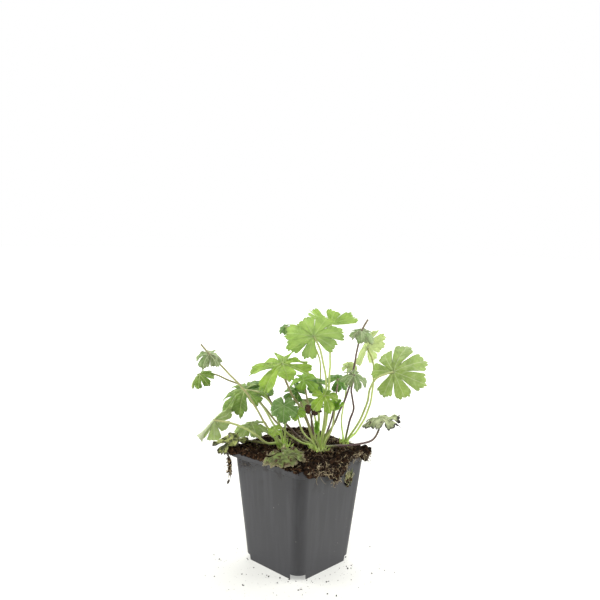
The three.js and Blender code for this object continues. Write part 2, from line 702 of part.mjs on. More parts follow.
// A lump of peat: a ball with its corners moved in and out at random.
function lump(x, y, z, size, random) {
  const ball = mergeByPlace(new THREE.IcosahedronGeometry(size, 1));
  const places = ball.attributes.position;
  for (let i = 0; i < places.count; i += 1) {
    const swell = LUMP_LEAST + LUMP_SPREAD * random();
    const rise = swell * LUMP_FLATNESS;
    places.setXYZ(i, places.getX(i) * swell, places.getY(i) * swell, places.getZ(i) * rise);
  }
  ball.translate(x, y, z);
  return solidOf(ball);
}

// Clumps that have spilled over the rim on the -Y side: along X, out past the wall, up, and size.
const SPILL = [
  [-13, -42.5, 100.6, 4.6],
  [-9.5, -46.8, 97.6, 4.2],
  [-7.5, -47.2, 92.8, 3.4],
  [-4, -42.5, 101.4, 5],
  [5, -42.5, 100.8, 4],
  [14, -42.8, 100.8, 3.6],
  [30, -41.5, 100.6, 3.8],
];

function makeSoil(hollows) {
  const random = seeded(CRUMB_SEED);
  const stepTop = POT_HEIGHT - RIM_BAND + WALL + INNER_STEP;
  const stepFoot = stepTop - INNER_STEP;
  const inner = RIM_HALF - WALL - PEAT_CLEARANCE;
  const wallGap = WALL + PEAT_CLEARANCE;
  const edge = roundedSquare(inner, RIM_CORNER - WALL, 0);
  const top = SOIL_RINGS.map((share) =>
    edge.map(({ x, y }) => {
      const crumb = CRUMB_HEIGHT * share * (random() - 0.5);
      return new THREE.Vector3(share * x, share * y, groundAt(share * x, share * y) + crumb);
    }),
  );
  const body = loft([
    roundedSquare(wallHalf(FLOOR) - wallGap, WALL_CORNER - WALL, FLOOR + PEAT_CLEARANCE),
    roundedSquare(wallHalf(stepFoot) - wallGap - PEAT_CLEARANCE / 2, WALL_CORNER - WALL, stepFoot),
    roundedSquare(inner, RIM_CORNER - WALL, stepTop + PEAT_CLEARANCE),
    ...top,
  ]);
  let soil = solidOf(body).subtract(channelHousings(PEAT_CLEARANCE));
  const potShell = potOutside(CLEARANCE).subtract(potInside(CLEARANCE, POT_HEIGHT + WALL));
  for (const [x, y, z, size] of SPILL) soil = soil.add(lump(x, y, z, size, random).subtract(potShell));
  for (const hollow of hollows) soil = soil.subtract(hollow);
  return soil;
}

// ---------------------------------------------------------------- hanging root

const ROOT_PATH = [
  [-46, 3, 96],
  [-50, 2, 100.6],
  [-58, 1, 102.2],
  [-62.5, 0, 101.8],
  [-64, 0, 98.5],
  [-62.8, -1, 90],
  [-60.5, -1, 76],
];
const ROOT_RADII = [0.6, 0.45];
const ROOT_STEP = 4;
const ROOT_CLUMP = { at: [-61.8, -1, 84], size: 2.1 };
const ROOT_LOOK = { colour: "#5d4a3c", roughness: 0.95 };

function rootSolid(gap) {
  return solidOf(stalkGeometry(ROOT_PATH.map(fromFront), ROOT_RADII, ROOT_STEP, gap));
}

function makeRoot() {
  const { x, y, z } = fromFront(ROOT_CLUMP.at);
  return rootSolid(0).add(lump(x, y, z, ROOT_CLUMP.size, seeded(CLUMP_SEED)));
}

// ---------------------------------------------------------------- assembly

const plant = new THREE.Group();

function addPiece(name, solid, { colour, roughness }, tolerance = FINE_TOLERANCE) {
  const material = new THREE.MeshStandardMaterial({ color: colour, roughness, metalness: 0 });
  const mesh = new THREE.Mesh(geometryOf(solid, tolerance), material);
  mesh.name = name;
  plant.add(mesh);
}

addPiece("pot", makePot(), POT_LOOK);

const hollows = [rootSolid(CLEARANCE)];
for (const [side, crown] of Object.entries(CROWNS)) {
  let solid = crownSolid(crown, 0);
  for (const leaf of LEAVES.filter((one) => one.crown === side)) {
    const hole = stalkSolid(leaf, CLEARANCE);
    solid = solid.subtract(hole);
    hollows.push(hole);
  }
  addPiece(`crown_${side}`, solid, CROWN_LOOK);
  hollows.push(crownSolid(crown, CROWN_CLEARANCE));
}

addPiece("soil", makeSoil(hollows), SOIL_LOOK, PEAT_TOLERANCE);
addPiece("hanging_root", makeRoot(), ROOT_LOOK);

LEAVES.forEach((leaf, i) => {
  addPiece(leaf.name, stalkSolid(leaf, 0).add(bladeSolid(leaf, FIRST_LEAF_SEED + i)), leaf.look);
});

export default plant;
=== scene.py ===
"""Hardy geranium in a square nursery pot, dressed.

Each piece stands for the solid of the same part and keeps its form: the pot, its peat, the three crowns,
the leaves with their stalks, a loose rootlet and a tuft of moss. Sizes in the classes are millimetres and
the meshes are metres. Places in the plant are stated from its own front: to the right, to the back and up.
"""
import logging
import math
from collections.abc import Callable
from dataclasses import dataclass, field
from enum import Enum
from functools import partial

import bpy
import numpy as np
from mathutils import Matrix
from numpy.typing import ArrayLike


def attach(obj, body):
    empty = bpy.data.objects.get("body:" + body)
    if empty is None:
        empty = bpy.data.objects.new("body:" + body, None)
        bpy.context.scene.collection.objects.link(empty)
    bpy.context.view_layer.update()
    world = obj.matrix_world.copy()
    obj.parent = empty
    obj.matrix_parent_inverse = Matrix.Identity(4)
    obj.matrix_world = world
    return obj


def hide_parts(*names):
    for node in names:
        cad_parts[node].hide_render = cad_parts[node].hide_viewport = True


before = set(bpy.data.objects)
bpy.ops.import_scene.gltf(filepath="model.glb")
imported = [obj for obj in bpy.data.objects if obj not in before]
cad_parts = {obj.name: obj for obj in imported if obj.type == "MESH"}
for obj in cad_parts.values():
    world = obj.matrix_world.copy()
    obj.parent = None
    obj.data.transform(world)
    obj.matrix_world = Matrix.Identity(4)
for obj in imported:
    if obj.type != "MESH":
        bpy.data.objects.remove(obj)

LOG = logging.getLogger("hardy_geranium")
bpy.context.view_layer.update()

MM = 0.001
PLANT_TURN = math.radians(-46.4)

Array = np.ndarray
Pair = tuple[float, float]
Triple = tuple[float, float, float]
Material = bpy.types.Material
Socket = bpy.types.NodeSocket


# ---- places and draws


def from_front(places: ArrayLike) -> Array:
    """Turns places in the plant into the part's frame.

    x = right cos(turn) - back sin(turn), y = right sin(turn) + back cos(turn), z = up, in metres.

    Args:
        places: (..., 3) right, back and up in millimetres.

    Returns:
        (..., 3) x, y and z in metres.
    """
    places = np.asarray(places, float)
    cos, sin = math.cos(PLANT_TURN), math.sin(PLANT_TURN)
    right, back, up = places[..., 0], places[..., 1], places[..., 2]
    return MM * np.stack([right * cos - back * sin, right * sin + back * cos, up], axis=-1)


def turned(direction: ArrayLike) -> Array:
    """Turns a direction in the plant into the part's frame, as a unit vector."""
    vector = from_front(direction)
    return vector / np.linalg.norm(vector)


class Draws:
    """Repeatable numbers from 0 to 1, by the same rule as the solids' own draws."""

    MASK = 0xFFFFFFFF
    STEP = 0x6D2B79F5

    def __init__(self, seed: int) -> None:
        """Starts the draws.

        Args:
            seed: any whole number; the same seed gives the same draws.
        """
        self.state = seed

    def next(self) -> float:
        """Moves on to the next number.

        Returns:
            The number.
        """
        self.state = (self.state + self.STEP) & self.MASK
        mixed = ((self.state ^ (self.state >> 15)) * (1 | self.state)) & self.MASK
        mixed = ((mixed + (mixed ^ (mixed >> 7)) * (61 | mixed)) & self.MASK) ^ mixed
        return ((mixed ^ (mixed >> 14)) & self.MASK) / (self.MASK + 1)


def ripples(points: Array, step: float, seed: int, count: int = 14) -> Array:
    """Smooth noise: the sum of sine waves in seeded directions, scaled to a spread of about 1.

    Args:
        points: (..., k) places.
        step: the usual distance from crest to crest, in the unit of the places.
        seed: seed of the directions and phases.
        count: how many waves are summed.

    Returns:
        (...) heights, mostly from -1 to 1.
    """
    rng = np.random.default_rng(seed)
    ways = rng.normal(size=(count, points.shape[-1]))
    ways /= np.linalg.norm(ways, axis=1, keepdims=True)
    ways *= (math.tau / step) * rng.uniform(0.6, 1.5, (count, 1))
    phases = rng.uniform(0, math.tau, count)
    return np.sin(points @ ways.T + phases).sum(axis=-1) / math.sqrt(count / 1.2)


def ramp(value: Array, low: float, high: float) -> Array:
    """A smooth step: 0 below low, 1 above high, and 3t^2 - 2t^3 between them."""
    share = np.clip((value - low) / (high - low), 0, 1)
    return share * share * (3 - 2 * share)


def unit(vectors: Array) -> Array:
    """Vectors scaled to length 1 along the last axis."""
    return vectors / np.maximum(np.linalg.norm(vectors, axis=-1, keepdims=True), 1e-12)


# ---- meshes


@dataclass
class Surface:
    """One closed surface: its points, its faces, values carried by its points, and its finish's number."""

    points: Array
    faces: list[Array]
    values: dict[str, Array] = field(default_factory=dict)
    finish: int = 0


def strip(low: Array, high: Array) -> Array:
    """Quads that join two closed loops of point numbers, the low one first."""
    return np.stack([low, np.roll(low, -1, -1), np.roll(high, -1, -1), high], axis=-1).reshape(-1, 4)


def fan(tip: int, loop: Array) -> Array:
    """Triangles from one point to each side of a closed loop."""
    return np.stack([np.full_like(loop, tip), loop, np.roll(loop, -1)], axis=-1)


def closed_skin(rows: Array, bottom: Array, top: Array) -> Surface:
    """A closed surface through rows of points that run anticlockwise, from a bottom pole to a top pole.

    Args:
        rows: (rows, columns, 3) points.
        bottom: (3,) the pole under the first row.
        top: (3,) the pole over the last row.

    Returns:
        The surface, with its faces outwards.
    """
    count, columns = rows.shape[:2]
    numbers = np.arange(count * columns).reshape(count, columns)
    last = count * columns
    points = np.concatenate([rows.reshape(-1, 3), bottom[None], top[None]])
    faces = [strip(numbers[:-1], numbers[1:]), fan(last, numbers[0][::-1]), fan(last + 1, numbers[-1])]
    return Surface(points, faces)


def tubes(paths: Array, radii: Array, sides: int, lean: Array | None = None) -> Surface:
    """Closed round tubes along paths.

    Each ring's points are path + radius (cos(a) n + sin(a) b), where n is square to the path and to the
    tube's lean, b is square to both the path and n, and a runs once round.

    Args:
        paths: (tubes, steps, 3) middle lines.
        radii: (tubes, steps) radii.
        sides: points round each ring.
        lean: (tubes, 3) a direction that no path runs along; worked out from the paths if left out.

    Returns:
        One surface of all the tubes, with the values "rise", the share of the way along, and "turn",
        the share of the way round.
    """
    amount, steps = paths.shape[:2]
    ahead = unit(np.gradient(paths, axis=1))
    if lean is None:
        spread = paths - paths.mean(axis=1, keepdims=True)
        lean = np.linalg.svd(spread, full_matrices=True)[2][:, 2]
    side = unit(np.cross(np.broadcast_to(lean[:, None], paths.shape), ahead))
    other = np.cross(ahead, side)
    angle = np.linspace(0, math.tau, sides, endpoint=False)
    ring = side[:, :, None] * np.cos(angle)[:, None] + other[:, :, None] * np.sin(angle)[:, None]
    walls = paths[:, :, None] + radii[:, :, None, None] * ring
    numbers = np.arange(amount * steps * sides).reshape(amount, steps, sides)
    ends = amount * steps * sides + np.arange(2 * amount).reshape(amount, 2)
    points = np.concatenate([walls.reshape(-1, 3), paths[:, [0, -1]].reshape(-1, 3)])
    first, last = numbers[:, 0, ::-1], numbers[:, -1]
    caps = [
        np.stack([np.broadcast_to(ends[:, [0]], first.shape), first, np.roll(first, -1, 1)], -1),
        np.stack([np.broadcast_to(ends[:, [1]], last.shape), last, np.roll(last, -1, 1)], -1),
    ]
    rise = np.broadcast_to(np.linspace(0, 1, steps)[None, :, None], numbers.shape)
    turn = np.broadcast_to(angle / (math.tau), numbers.shape)
    values = {
        "rise": np.concatenate([rise.ravel(), np.tile([0.0, 1.0], amount)]),
        "turn": np.concatenate([turn.ravel(), np.zeros(2 * amount)]),
    }
    faces = [strip(numbers[:, :-1], numbers[:, 1:]), *(cap.reshape(-1, 3) for cap in caps)]
    return Surface(points, faces, values)


LUMP_CORNERS = unit(
    np.array(
        [
            (0, 1, 1.618), (0, -1, 1.618), (0, 1, -1.618), (0, -1, -1.618),
            (1, 1.618, 0), (-1, 1.618, 0), (1, -1.618, 0), (-1, -1.618, 0),
            (1.618, 0, 1), (1.618, 0, -1), (-1.618, 0, 1), (-1.618, 0, -1),
        ],
        float,
    )
)
LUMP_FACES = np.array(
    [
        (0, 1, 8), (0, 10, 1), (0, 8, 4), (0, 4, 5), (0, 5, 10), (1, 6, 8), (1, 10, 7), (1, 7, 6),
        (2, 9, 3), (2, 3, 11), (2, 4, 9), (2, 5, 4), (2, 11, 5), (3, 9, 6), (3, 7, 11), (3, 6, 7),
        (4, 8, 9), (5, 11, 10), (6, 9, 8), (7, 10, 11),
    ]
)


def crumbs(places: Array, sizes: Array, seed: int, stretch: float = 0.6) -> Surface:
    """Rough twenty-sided crumbs, each turned, stretched and dented by seeded draws.

    Args:
        places: (crumbs, 3) middles.
        sizes: (crumbs,) radii.
        seed: seed of the draws.
        stretch: how much the crumb's three axes may differ, from 0.

    Returns:
        One surface of all the crumbs, with the value "shade", one number from 0 to 1 for each crumb,
        low for the big ones.
    """
    rng = np.random.default_rng(seed)
    amount, corner_count = len(places), len(LUMP_CORNERS)
    axes = 1 + stretch * rng.uniform(-0.6, 1, (amount, 1, 3))
    spin = np.linalg.qr(rng.normal(size=(amount, 3, 3)))[0]
    spin *= np.sign(np.linalg.det(spin))[:, None, None]
    dents = rng.uniform(0.72, 1.2, (amount, corner_count, 1))
    corners = (LUMP_CORNERS * axes * dents) @ spin * sizes[:, None, None] + places[:, None]
    faces = (LUMP_FACES + corner_count * np.arange(amount)[:, None, None]).reshape(-1, 3)
    small = np.clip(np.median(sizes) / sizes, 0, 1)
    shade = np.repeat(rng.uniform(0, 1, amount) * small**0.7, corner_count)
    return Surface(corners.reshape(-1, 3), [faces], {"shade": shade})


def make_piece(
    name: str,
    surfaces: list[Surface],
    finishes: list[Material],
    nodes: tuple[str, ...],
    smooth: bool = True,
) -> bpy.types.Object:
    """Joins surfaces into one mesh object in the part's frame and hides the solids that it stands for.

    Args:
        name: the piece's name.
        surfaces: its closed surfaces.
        finishes: its materials, in the order of the surfaces' numbers.
        nodes: the solids that it stands for, if any.
        smooth: whether its faces are shaded smooth.

    Returns:
        The object, at the origin.
    """
    starts = np.cumsum([0] + [len(one.points) for one in surfaces[:-1]])
    faces = [(block + start, one.finish) for one, start in zip(surfaces, starts) for block in one.faces]
    mesh = bpy.data.meshes.new(name)
    points = np.concatenate([one.points for one in surfaces])
    corner_counts = np.concatenate([np.full(len(block), block.shape[1]) for block, _ in faces])
    mesh.vertices.add(len(points))
    mesh.vertices.foreach_set("co", points.ravel())
    mesh.loops.add(int(corner_counts.sum()))
    mesh.loops.foreach_set("vertex_index", np.concatenate([block.ravel() for block, _ in faces]))
    mesh.polygons.add(len(corner_counts))
    mesh.polygons.foreach_set("loop_start", np.concatenate([[0], np.cumsum(corner_counts)[:-1]]))
    numbers = np.concatenate([np.full(len(block), finish) for block, finish in faces])
    mesh.polygons.foreach_set("material_index", numbers)
    mesh.polygons.foreach_set("use_smooth", np.full(len(corner_counts), smooth))
    mesh.update(calc_edges=True)
    for key in sorted({key for one in surfaces for key in one.values}):
        parts = [one.values.get(key, np.zeros(len(one.points))) for one in surfaces]
        whole = np.concatenate(parts).astype(np.float32)
        mesh.attributes.new(key, "FLOAT", "POINT").data.foreach_set("value", whole)
    for finish in finishes:
        mesh.materials.append(finish)
    made = bpy.data.objects.new(name, mesh)
    bpy.context.scene.collection.objects.link(made)
    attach(made, "root")
    if nodes:
        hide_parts(*nodes)
    LOG.info("%s: %d faces", name, len(corner_counts))
    return made


# Points that are worked out between two stops of a curve, before they are spaced evenly.
STRETCH_STEPS = 24


def smooth_path(stops: Array, steps: int) -> Array:
    """A curve through stops, evenly spaced along its length.

    Each stretch is a cubic whose end slopes come from its neighbours, weighted by the square roots of the
    distances between them; past each end the neighbour is the mirrored first or last stop.

    Args:
        stops: (stops, 3) places that the curve passes.
        steps: how many points it gets.

    Returns:
        (steps, 3) points.
    """
    ends = np.concatenate([[2 * stops[0] - stops[1]], stops, [2 * stops[-1] - stops[-2]]])
    gaps = np.sqrt(np.linalg.norm(np.diff(ends, axis=0), axis=1))[:, None]
    a, b, c, d = ends[:-3], ends[1:-2], ends[2:-1], ends[3:]
    before, along, after = gaps[:-2], gaps[1:-1], gaps[2:]
    slope_in = ((b - a) / before - (c - a) / (before + along) + (c - b) / along) * along
    slope_out = ((c - b) / along - (d - b) / (along + after) + (d - c) / after) * along
    t = np.linspace(0, 1, STRETCH_STEPS, endpoint=False)[None, :, None]
    cubic = (2 * b - 2 * c + slope_in + slope_out)[:, None] * t**3
    square = (-3 * b + 3 * c - 2 * slope_in - slope_out)[:, None] * t**2
    dense = (cubic + square + slope_in[:, None] * t + b[:, None]).reshape(-1, 3)
    dense = np.concatenate([dense, stops[-1:]])
    way = np.concatenate([[0], np.cumsum(np.linalg.norm(np.diff(dense, axis=0), axis=1))])
    wanted = np.linspace(0, way[-1], steps)
    return np.stack([np.interp(wanted, way, dense[:, axis]) for axis in range(3)], axis=1)


# ---- node help


def linear(code: str, alpha: float = 1.0) -> tuple[float, float, float, float]:
    """An sRGB hex colour as linear red, green, blue and alpha.

    Args:
        code: six hex digits after a #.
        alpha: the fourth value.

    Returns:
        The four values, by the sRGB curve: c / 12.92 up to 0.04045, else ((c + 0.055) / 1.055)^2.4.
    """
    channels = (int(code[i : i + 2], 16) / 255 for i in (1, 3, 5))
    red, green, blue = (c / 12.92 if c <= 0.04045 else ((c + 0.055) / 1.055) ** 2.4 for c in channels)
    return red, green, blue, alpha


def per(size: float) -> float:
    """The texture scale at which one repeat is a size in millimetres."""
    return 1 / (size * MM)


Given = float | str | tuple | Socket
Adder = Callable[..., Socket]
SMOOTH = {"interpolation_type": "SMOOTHSTEP"}
# A colour Mix's sockets are numbered: 0 is the share, 6 and 7 are the colours, and its output is 2.
MIX = {"out": 2, "data_type": "RGBA"}


def add_node(
    tree: bpy.types.NodeTree,
    kind: str,
    given: list[Given] | dict[str | int, Given],
    out: str | int = 0,
    **settings: object,
) -> Socket | None:
    """Adds a node to a tree with its settings, values and links.

    Args:
        tree: the node tree.
        kind: the node's type name, without the ShaderNode that starts it.
        given: what goes into its sockets, in order or by name or number: a number, a hex colour, or
            another node's output.
        out: the name or number of the output that is wanted.
        settings: the node's own settings.

    Returns:
        The wanted output, or None for a node that has none.
    """
    node = tree.nodes.new(f"ShaderNode{kind}")
    for key, value in settings.items():
        setattr(node, key, value)
    pairs = given.items() if isinstance(given, dict) else enumerate(given)
    for key, value in pairs:
        if isinstance(value, Socket):
            tree.links.new(value, node.inputs[key])
        else:
            node.inputs[key].default_value = linear(value) if isinstance(value, str) else value
    return node.outputs[out] if len(node.outputs) else None


def new_material(name: str) -> tuple[Material, Adder]:
    """Starts an empty material.

    Args:
        name: its name.

    Returns:
        The material, and add_node for its tree.
    """
    material = bpy.data.materials.new(name)
    material.use_nodes = True
    material.node_tree.nodes.clear()
    return material, partial(add_node, material.node_tree)


# ---- finishes


@dataclass(frozen=True)
class LeafTissue:
    """A living blade: a thin matt skin, darker above than below, that lets light through.

    Its veins are paler than the skin between them, sunken above and raised below, and the skin between
    them is puffed in small cells, painted paler on each puff as a painted highlight. Its darker patches are
    partly its own mottle and partly painted shade.
    """

    name: str
    upper: str
    under: str
    vein: str
    through: str
    edge: str
    share_through: float = 0.42
    # The darker patches' greatest share: partly the blade's own mottle, partly painted shade.
    mottle_and_shade: float = 0.55
    roughness: float = 0.6
    # Main veins fade out between these distances from their middle, in millimetres. Side veins leave
    # them at every step, and a net of cells lies between.
    vein_edges: Pair = (0.2, 0.6)
    side_vein_step: float = 3.4
    # A real net's cells are about half as wide, too fine to show, so they are drawn wider.
    net_cell: float = 1.3
    patch: float = 9
    # The puffs' pale patches are painted highlights, and the value after this one is their greatest share.
    highlight_puff: float = 5
    lit_and_faded: float = 0.55
    grain: float = 0.9

    def veins(self, add: Adder, place: Socket) -> Socket:
        """How much a point belongs to a vein, from 0 to 1.

        Args:
            add: add_node for the material's tree.
            place: the object's coordinates.

        Returns:
            The share.
        """
        gap = add("Attribute", [], "Fac", attribute_name="vein_gap")
        reach = add("Attribute", [], "Fac", attribute_name="reach")
        main = add("MapRange", [gap, *self.vein_edges, 1.0, 0.0], **SMOOTH)
        slant = add("Math", [reach, gap], operation="SUBTRACT")
        ladder = add("Math", [slant, self.side_vein_step], operation="DIVIDE")
        rung = add("Math", [ladder, 0.5], operation="PINGPONG")
        branch = add("MapRange", [rung, 0.03, 0.11, 0.5, 0.0], **SMOOTH)
        cells = {"Vector": place, "Scale": per(self.net_cell)}
        border = add("TexVoronoi", cells, "Distance", feature="DISTANCE_TO_EDGE")
        net = add("MapRange", [border, 0.0, 0.12, 0.2, 0.0], **SMOOTH)
        return add("Math", [add("Math", [main, branch], operation="MAXIMUM"), net], operation="MAXIMUM")

    def material(self) -> Material:
        """Builds the material.

        Returns:
            The material.
        """
        material, add = new_material(f"leaf_tissue_{self.name}")
        place = add("TexCoord", [], "Object")
        side = add("Attribute", [], "Fac", attribute_name="upper")
        margin = add("Attribute", [], "Fac", attribute_name="margin")
        veins = self.veins(add, place)
        clouds = add("TexNoise", {"Vector": place, "Scale": per(self.patch), "Detail": 4.0}, "Fac")
        # Partly painted shade: darker patches of the edge colour, over the blade's own mottle.
        mottle_and_shade_patches = add("MapRange", [clouds, 0.42, 0.62, 0.0, self.mottle_and_shade], **SMOOTH)
        skin = add("Mix", {0: side, 6: self.under, 7: self.upper}, **MIX)
        skin = add("Mix", {0: mottle_and_shade_patches, 6: skin, 7: self.edge}, **MIX)
        # Painted highlights: small pale patches of the under colour on the puffs.
        highlight_puff_noise = {"Vector": place, "Scale": per(self.highlight_puff), "Detail": 3.0, "Distortion": 0.5}
        highlight_puffs = add("TexNoise", highlight_puff_noise, "Fac")
        lit_and_faded = add("MapRange", [highlight_puffs, 0.48, 0.68, 0.0, self.lit_and_faded], **SMOOTH)
        skin = add("Mix", {0: lit_and_faded, 6: skin, 7: self.under}, **MIX)
        rim = add("MapRange", [margin, 0.88, 1.0, 0.0, 0.55], **SMOOTH)
        skin = add("Mix", {0: rim, 6: skin, 7: self.edge}, **MIX)
        paler = add("Math", [veins, 0.7], operation="MULTIPLY")
        skin = add("Mix", {0: paler, 6: skin, 7: self.vein}, **MIX)
        grain = add("TexNoise", {"Vector": place, "Scale": per(self.grain), "Detail": 3.0}, "Fac")
        height = add("Math", [grain, veins], operation="SUBTRACT")
        relief = add("Bump", {"Height": height, "Distance": 0.32 * MM, "Strength": 0.75})
        look = {"Base Color": skin, "Roughness": self.roughness, "Normal": relief}
        front = add("BsdfPrincipled", look | {"Sheen Weight": 0.12, "Specular IOR Level": 0.35})
        glow = add("Mix", {0: mottle_and_shade_patches, 6: self.through, 7: self.upper}, **MIX)
        back = add("BsdfTranslucent", {"Color": glow, "Normal": relief})
        both = add("MixShader", [self.share_through, front, back])
        add("OutputMaterial", [both])
        return material


@dataclass(frozen=True)
class WitheredTissue:
    """A dead or dying blade: dull, crumpled and opaque, with brown blotches that spread from its edge."""

    name: str
    live: str
    dull: str
    blotch: str
    edge: str
    blotched: float = 0.5
    share_through: float = 0.12
    patch: float = 7
    blotch_size: float = 4.2
    crease: float = 1.6

    def material(self) -> Material:
        """Builds the material.

        Returns:
            The material.
        """
        material, add = new_material(self.name)
        place = add("TexCoord", [], "Object")
        gap = add("Attribute", [], "Fac", attribute_name="vein_gap")
        margin = add("Attribute", [], "Fac", attribute_name="margin")
        clouds = add("TexNoise", {"Vector": place, "Scale": per(self.patch), "Detail": 4.0}, "Fac")
        lit_and_faded = add("MapRange", [clouds, 0.4, 0.6, 0.0, 1.0], **SMOOTH)
        skin = add("Mix", {0: lit_and_faded, 6: self.live, 7: self.dull}, **MIX)
        main = add("MapRange", [gap, 0.2, 0.7, 0.45, 0.0], **SMOOTH)
        skin = add("Mix", {0: main, 6: skin, 7: self.live}, **MIX)
        spread = {"Vector": place, "Scale": per(self.blotch_size), "Detail": 5.0, "Distortion": 0.6}
        spots = add("TexNoise", spread, "Fac")
        outward = add("Math", [margin, 0.18, spots], operation="MULTIPLY_ADD")
        blotches = add("MapRange", [outward, 0.72 - 0.2 * self.blotched, 0.78, 0.0, 1.0], **SMOOTH)
        skin = add("Mix", {0: blotches, 6: skin, 7: self.blotch}, **MIX)
        ragged = add("Math", [spots, 0.3, margin], operation="MULTIPLY_ADD")
        rim = add("MapRange", [ragged, 0.98, 1.14, 0.0, 1.0], **SMOOTH)
        skin = add("Mix", {0: rim, 6: skin, 7: self.edge}, **MIX)
        creased = {"Vector": place, "Scale": per(self.crease), "Detail": 6.0, "Roughness": 0.65}
        creases = add("TexNoise", creased, "Fac")
        relief = add("Bump", {"Height": creases, "Distance": 0.6 * MM, "Strength": 0.8})
        look = {"Base Color": skin, "Roughness": 0.78, "Normal": relief, "Specular IOR Level": 0.25}
        front = add("BsdfPrincipled", look)
        back = add("BsdfTranslucent", {"Color": skin})
        both = add("MixShader", [self.share_through, front, back])
        add("OutputMaterial", [both])
        return material


@dataclass(frozen=True)
class LeafHair:
    """The down on stalks and leaf edges: fine straight hairs, pale and half see-through."""

    name: str = "leaf_hair"
    pale: str = "#e4e8cc"

    def material(self) -> Material:
        """Builds the material.

        Returns:
            The material.
        """
        material, add = new_material(self.name)
        front = add("BsdfPrincipled", {"Base Color": self.pale, "Roughness": 0.5})
        back = add("BsdfTranslucent", {"Color": self.pale})
        add("OutputMaterial", [add("MixShader", [0.5, front, back])])
        return material


@dataclass(frozen=True)
class StalkSkin:
    """The skin of a stalk: smooth, faintly ribbed along its length, paler at its foot, blushed along one
    side.
    """

    name: str
    foot: str
    middle: str
    head: str
    blush: str
    blushed: float = 0.4
    ribs: float = 7
    patch: float = 14

    def material(self) -> Material:
        """Builds the material.

        Returns:
            The material.
        """
        material, add = new_material(self.name)
        place = add("TexCoord", [], "Object")
        rise = add("Attribute", [], "Fac", attribute_name="rise")
        turn = add("Attribute", [], "Fac", attribute_name="turn")
        lower = add("MapRange", [rise, 0.06, 0.34, 0.0, 1.0], **SMOOTH)
        skin = add("Mix", {0: lower, 6: self.foot, 7: self.middle}, **MIX)
        higher = add("MapRange", [rise, 0.6, 1.0, 0.0, 1.0], **SMOOTH)
        skin = add("Mix", {0: higher, 6: skin, 7: self.head}, **MIX)
        # The blush lies along one side of the stalk, and fades in and out.
        folded = add("Math", [turn, 0.5], operation="PINGPONG")
        blush_side = add("MapRange", [folded, 0.12, 0.42, 0.0, self.blushed], **SMOOTH)
        clouds = add("TexNoise", {"Vector": place, "Scale": per(self.patch), "Detail": 2.0}, "Fac")
        patchy = add("MapRange", [clouds, 0.3, 0.7, 0.4, 1.0], **SMOOTH)
        share = add("Math", [add("Math", [blush_side, patchy], operation="MULTIPLY"), lower], operation="MULTIPLY")
        skin = add("Mix", {0: share, 6: skin, 7: self.blush}, **MIX)
        wave = add("Math", [add("Math", [turn, self.ribs], operation="MULTIPLY"), 0.5], operation="PINGPONG")
        relief = add("Bump", {"Height": wave, "Distance": 0.2 * MM, "Strength": 0.4})
        look = {"Base Color": skin, "Roughness": 0.45, "Normal": relief, "Sheen Weight": 0.15}
        add("OutputMaterial", [add("BsdfPrincipled", look)])
        return material


@dataclass(frozen=True)
class CrownTissue:
    """A crown of leaf bases: smooth pale green tissue that turns brown and papery towards the peat."""

    name: str = "crown_tissue"
    fresh: str = "#b2d852"
    pale: str = "#deee98"
    papery: str = "#84693a"
    patch: float = 3
    grain: float = 1.2

    def material(self) -> Material:
        """Builds the material.

        Returns:
            The material.
        """
        material, add = new_material(self.name)
        place = add("TexCoord", [], "Object")
        rise = add("Attribute", [], "Fac", attribute_name="rise")
        clouds = add("TexNoise", {"Vector": place, "Scale": per(self.patch), "Detail": 3.0}, "Fac")
        paler = add("MapRange", [clouds, 0.35, 0.65, 0.0, 1.0], **SMOOTH)
        skin = add("Mix", {0: paler, 6: self.fresh, 7: self.pale}, **MIX)
        ragged = add("Math", [clouds, 0.5, rise], operation="MULTIPLY_ADD")
        low = add("MapRange", [ragged, 0.45, 0.8, 1.0, 0.0], **SMOOTH)
        skin = add("Mix", {0: low, 6: skin, 7: self.papery}, **MIX)
        grain = add("TexNoise", {"Vector": place, "Scale": per(self.grain), "Detail": 4.0}, "Fac")
        relief = add("Bump", {"Height": grain, "Distance": 0.3 * MM, "Strength": 0.6})
        look = {"Base Color": skin, "Roughness": 0.5, "Normal": relief}
        add("OutputMaterial", [add("BsdfPrincipled", look)])
        return material


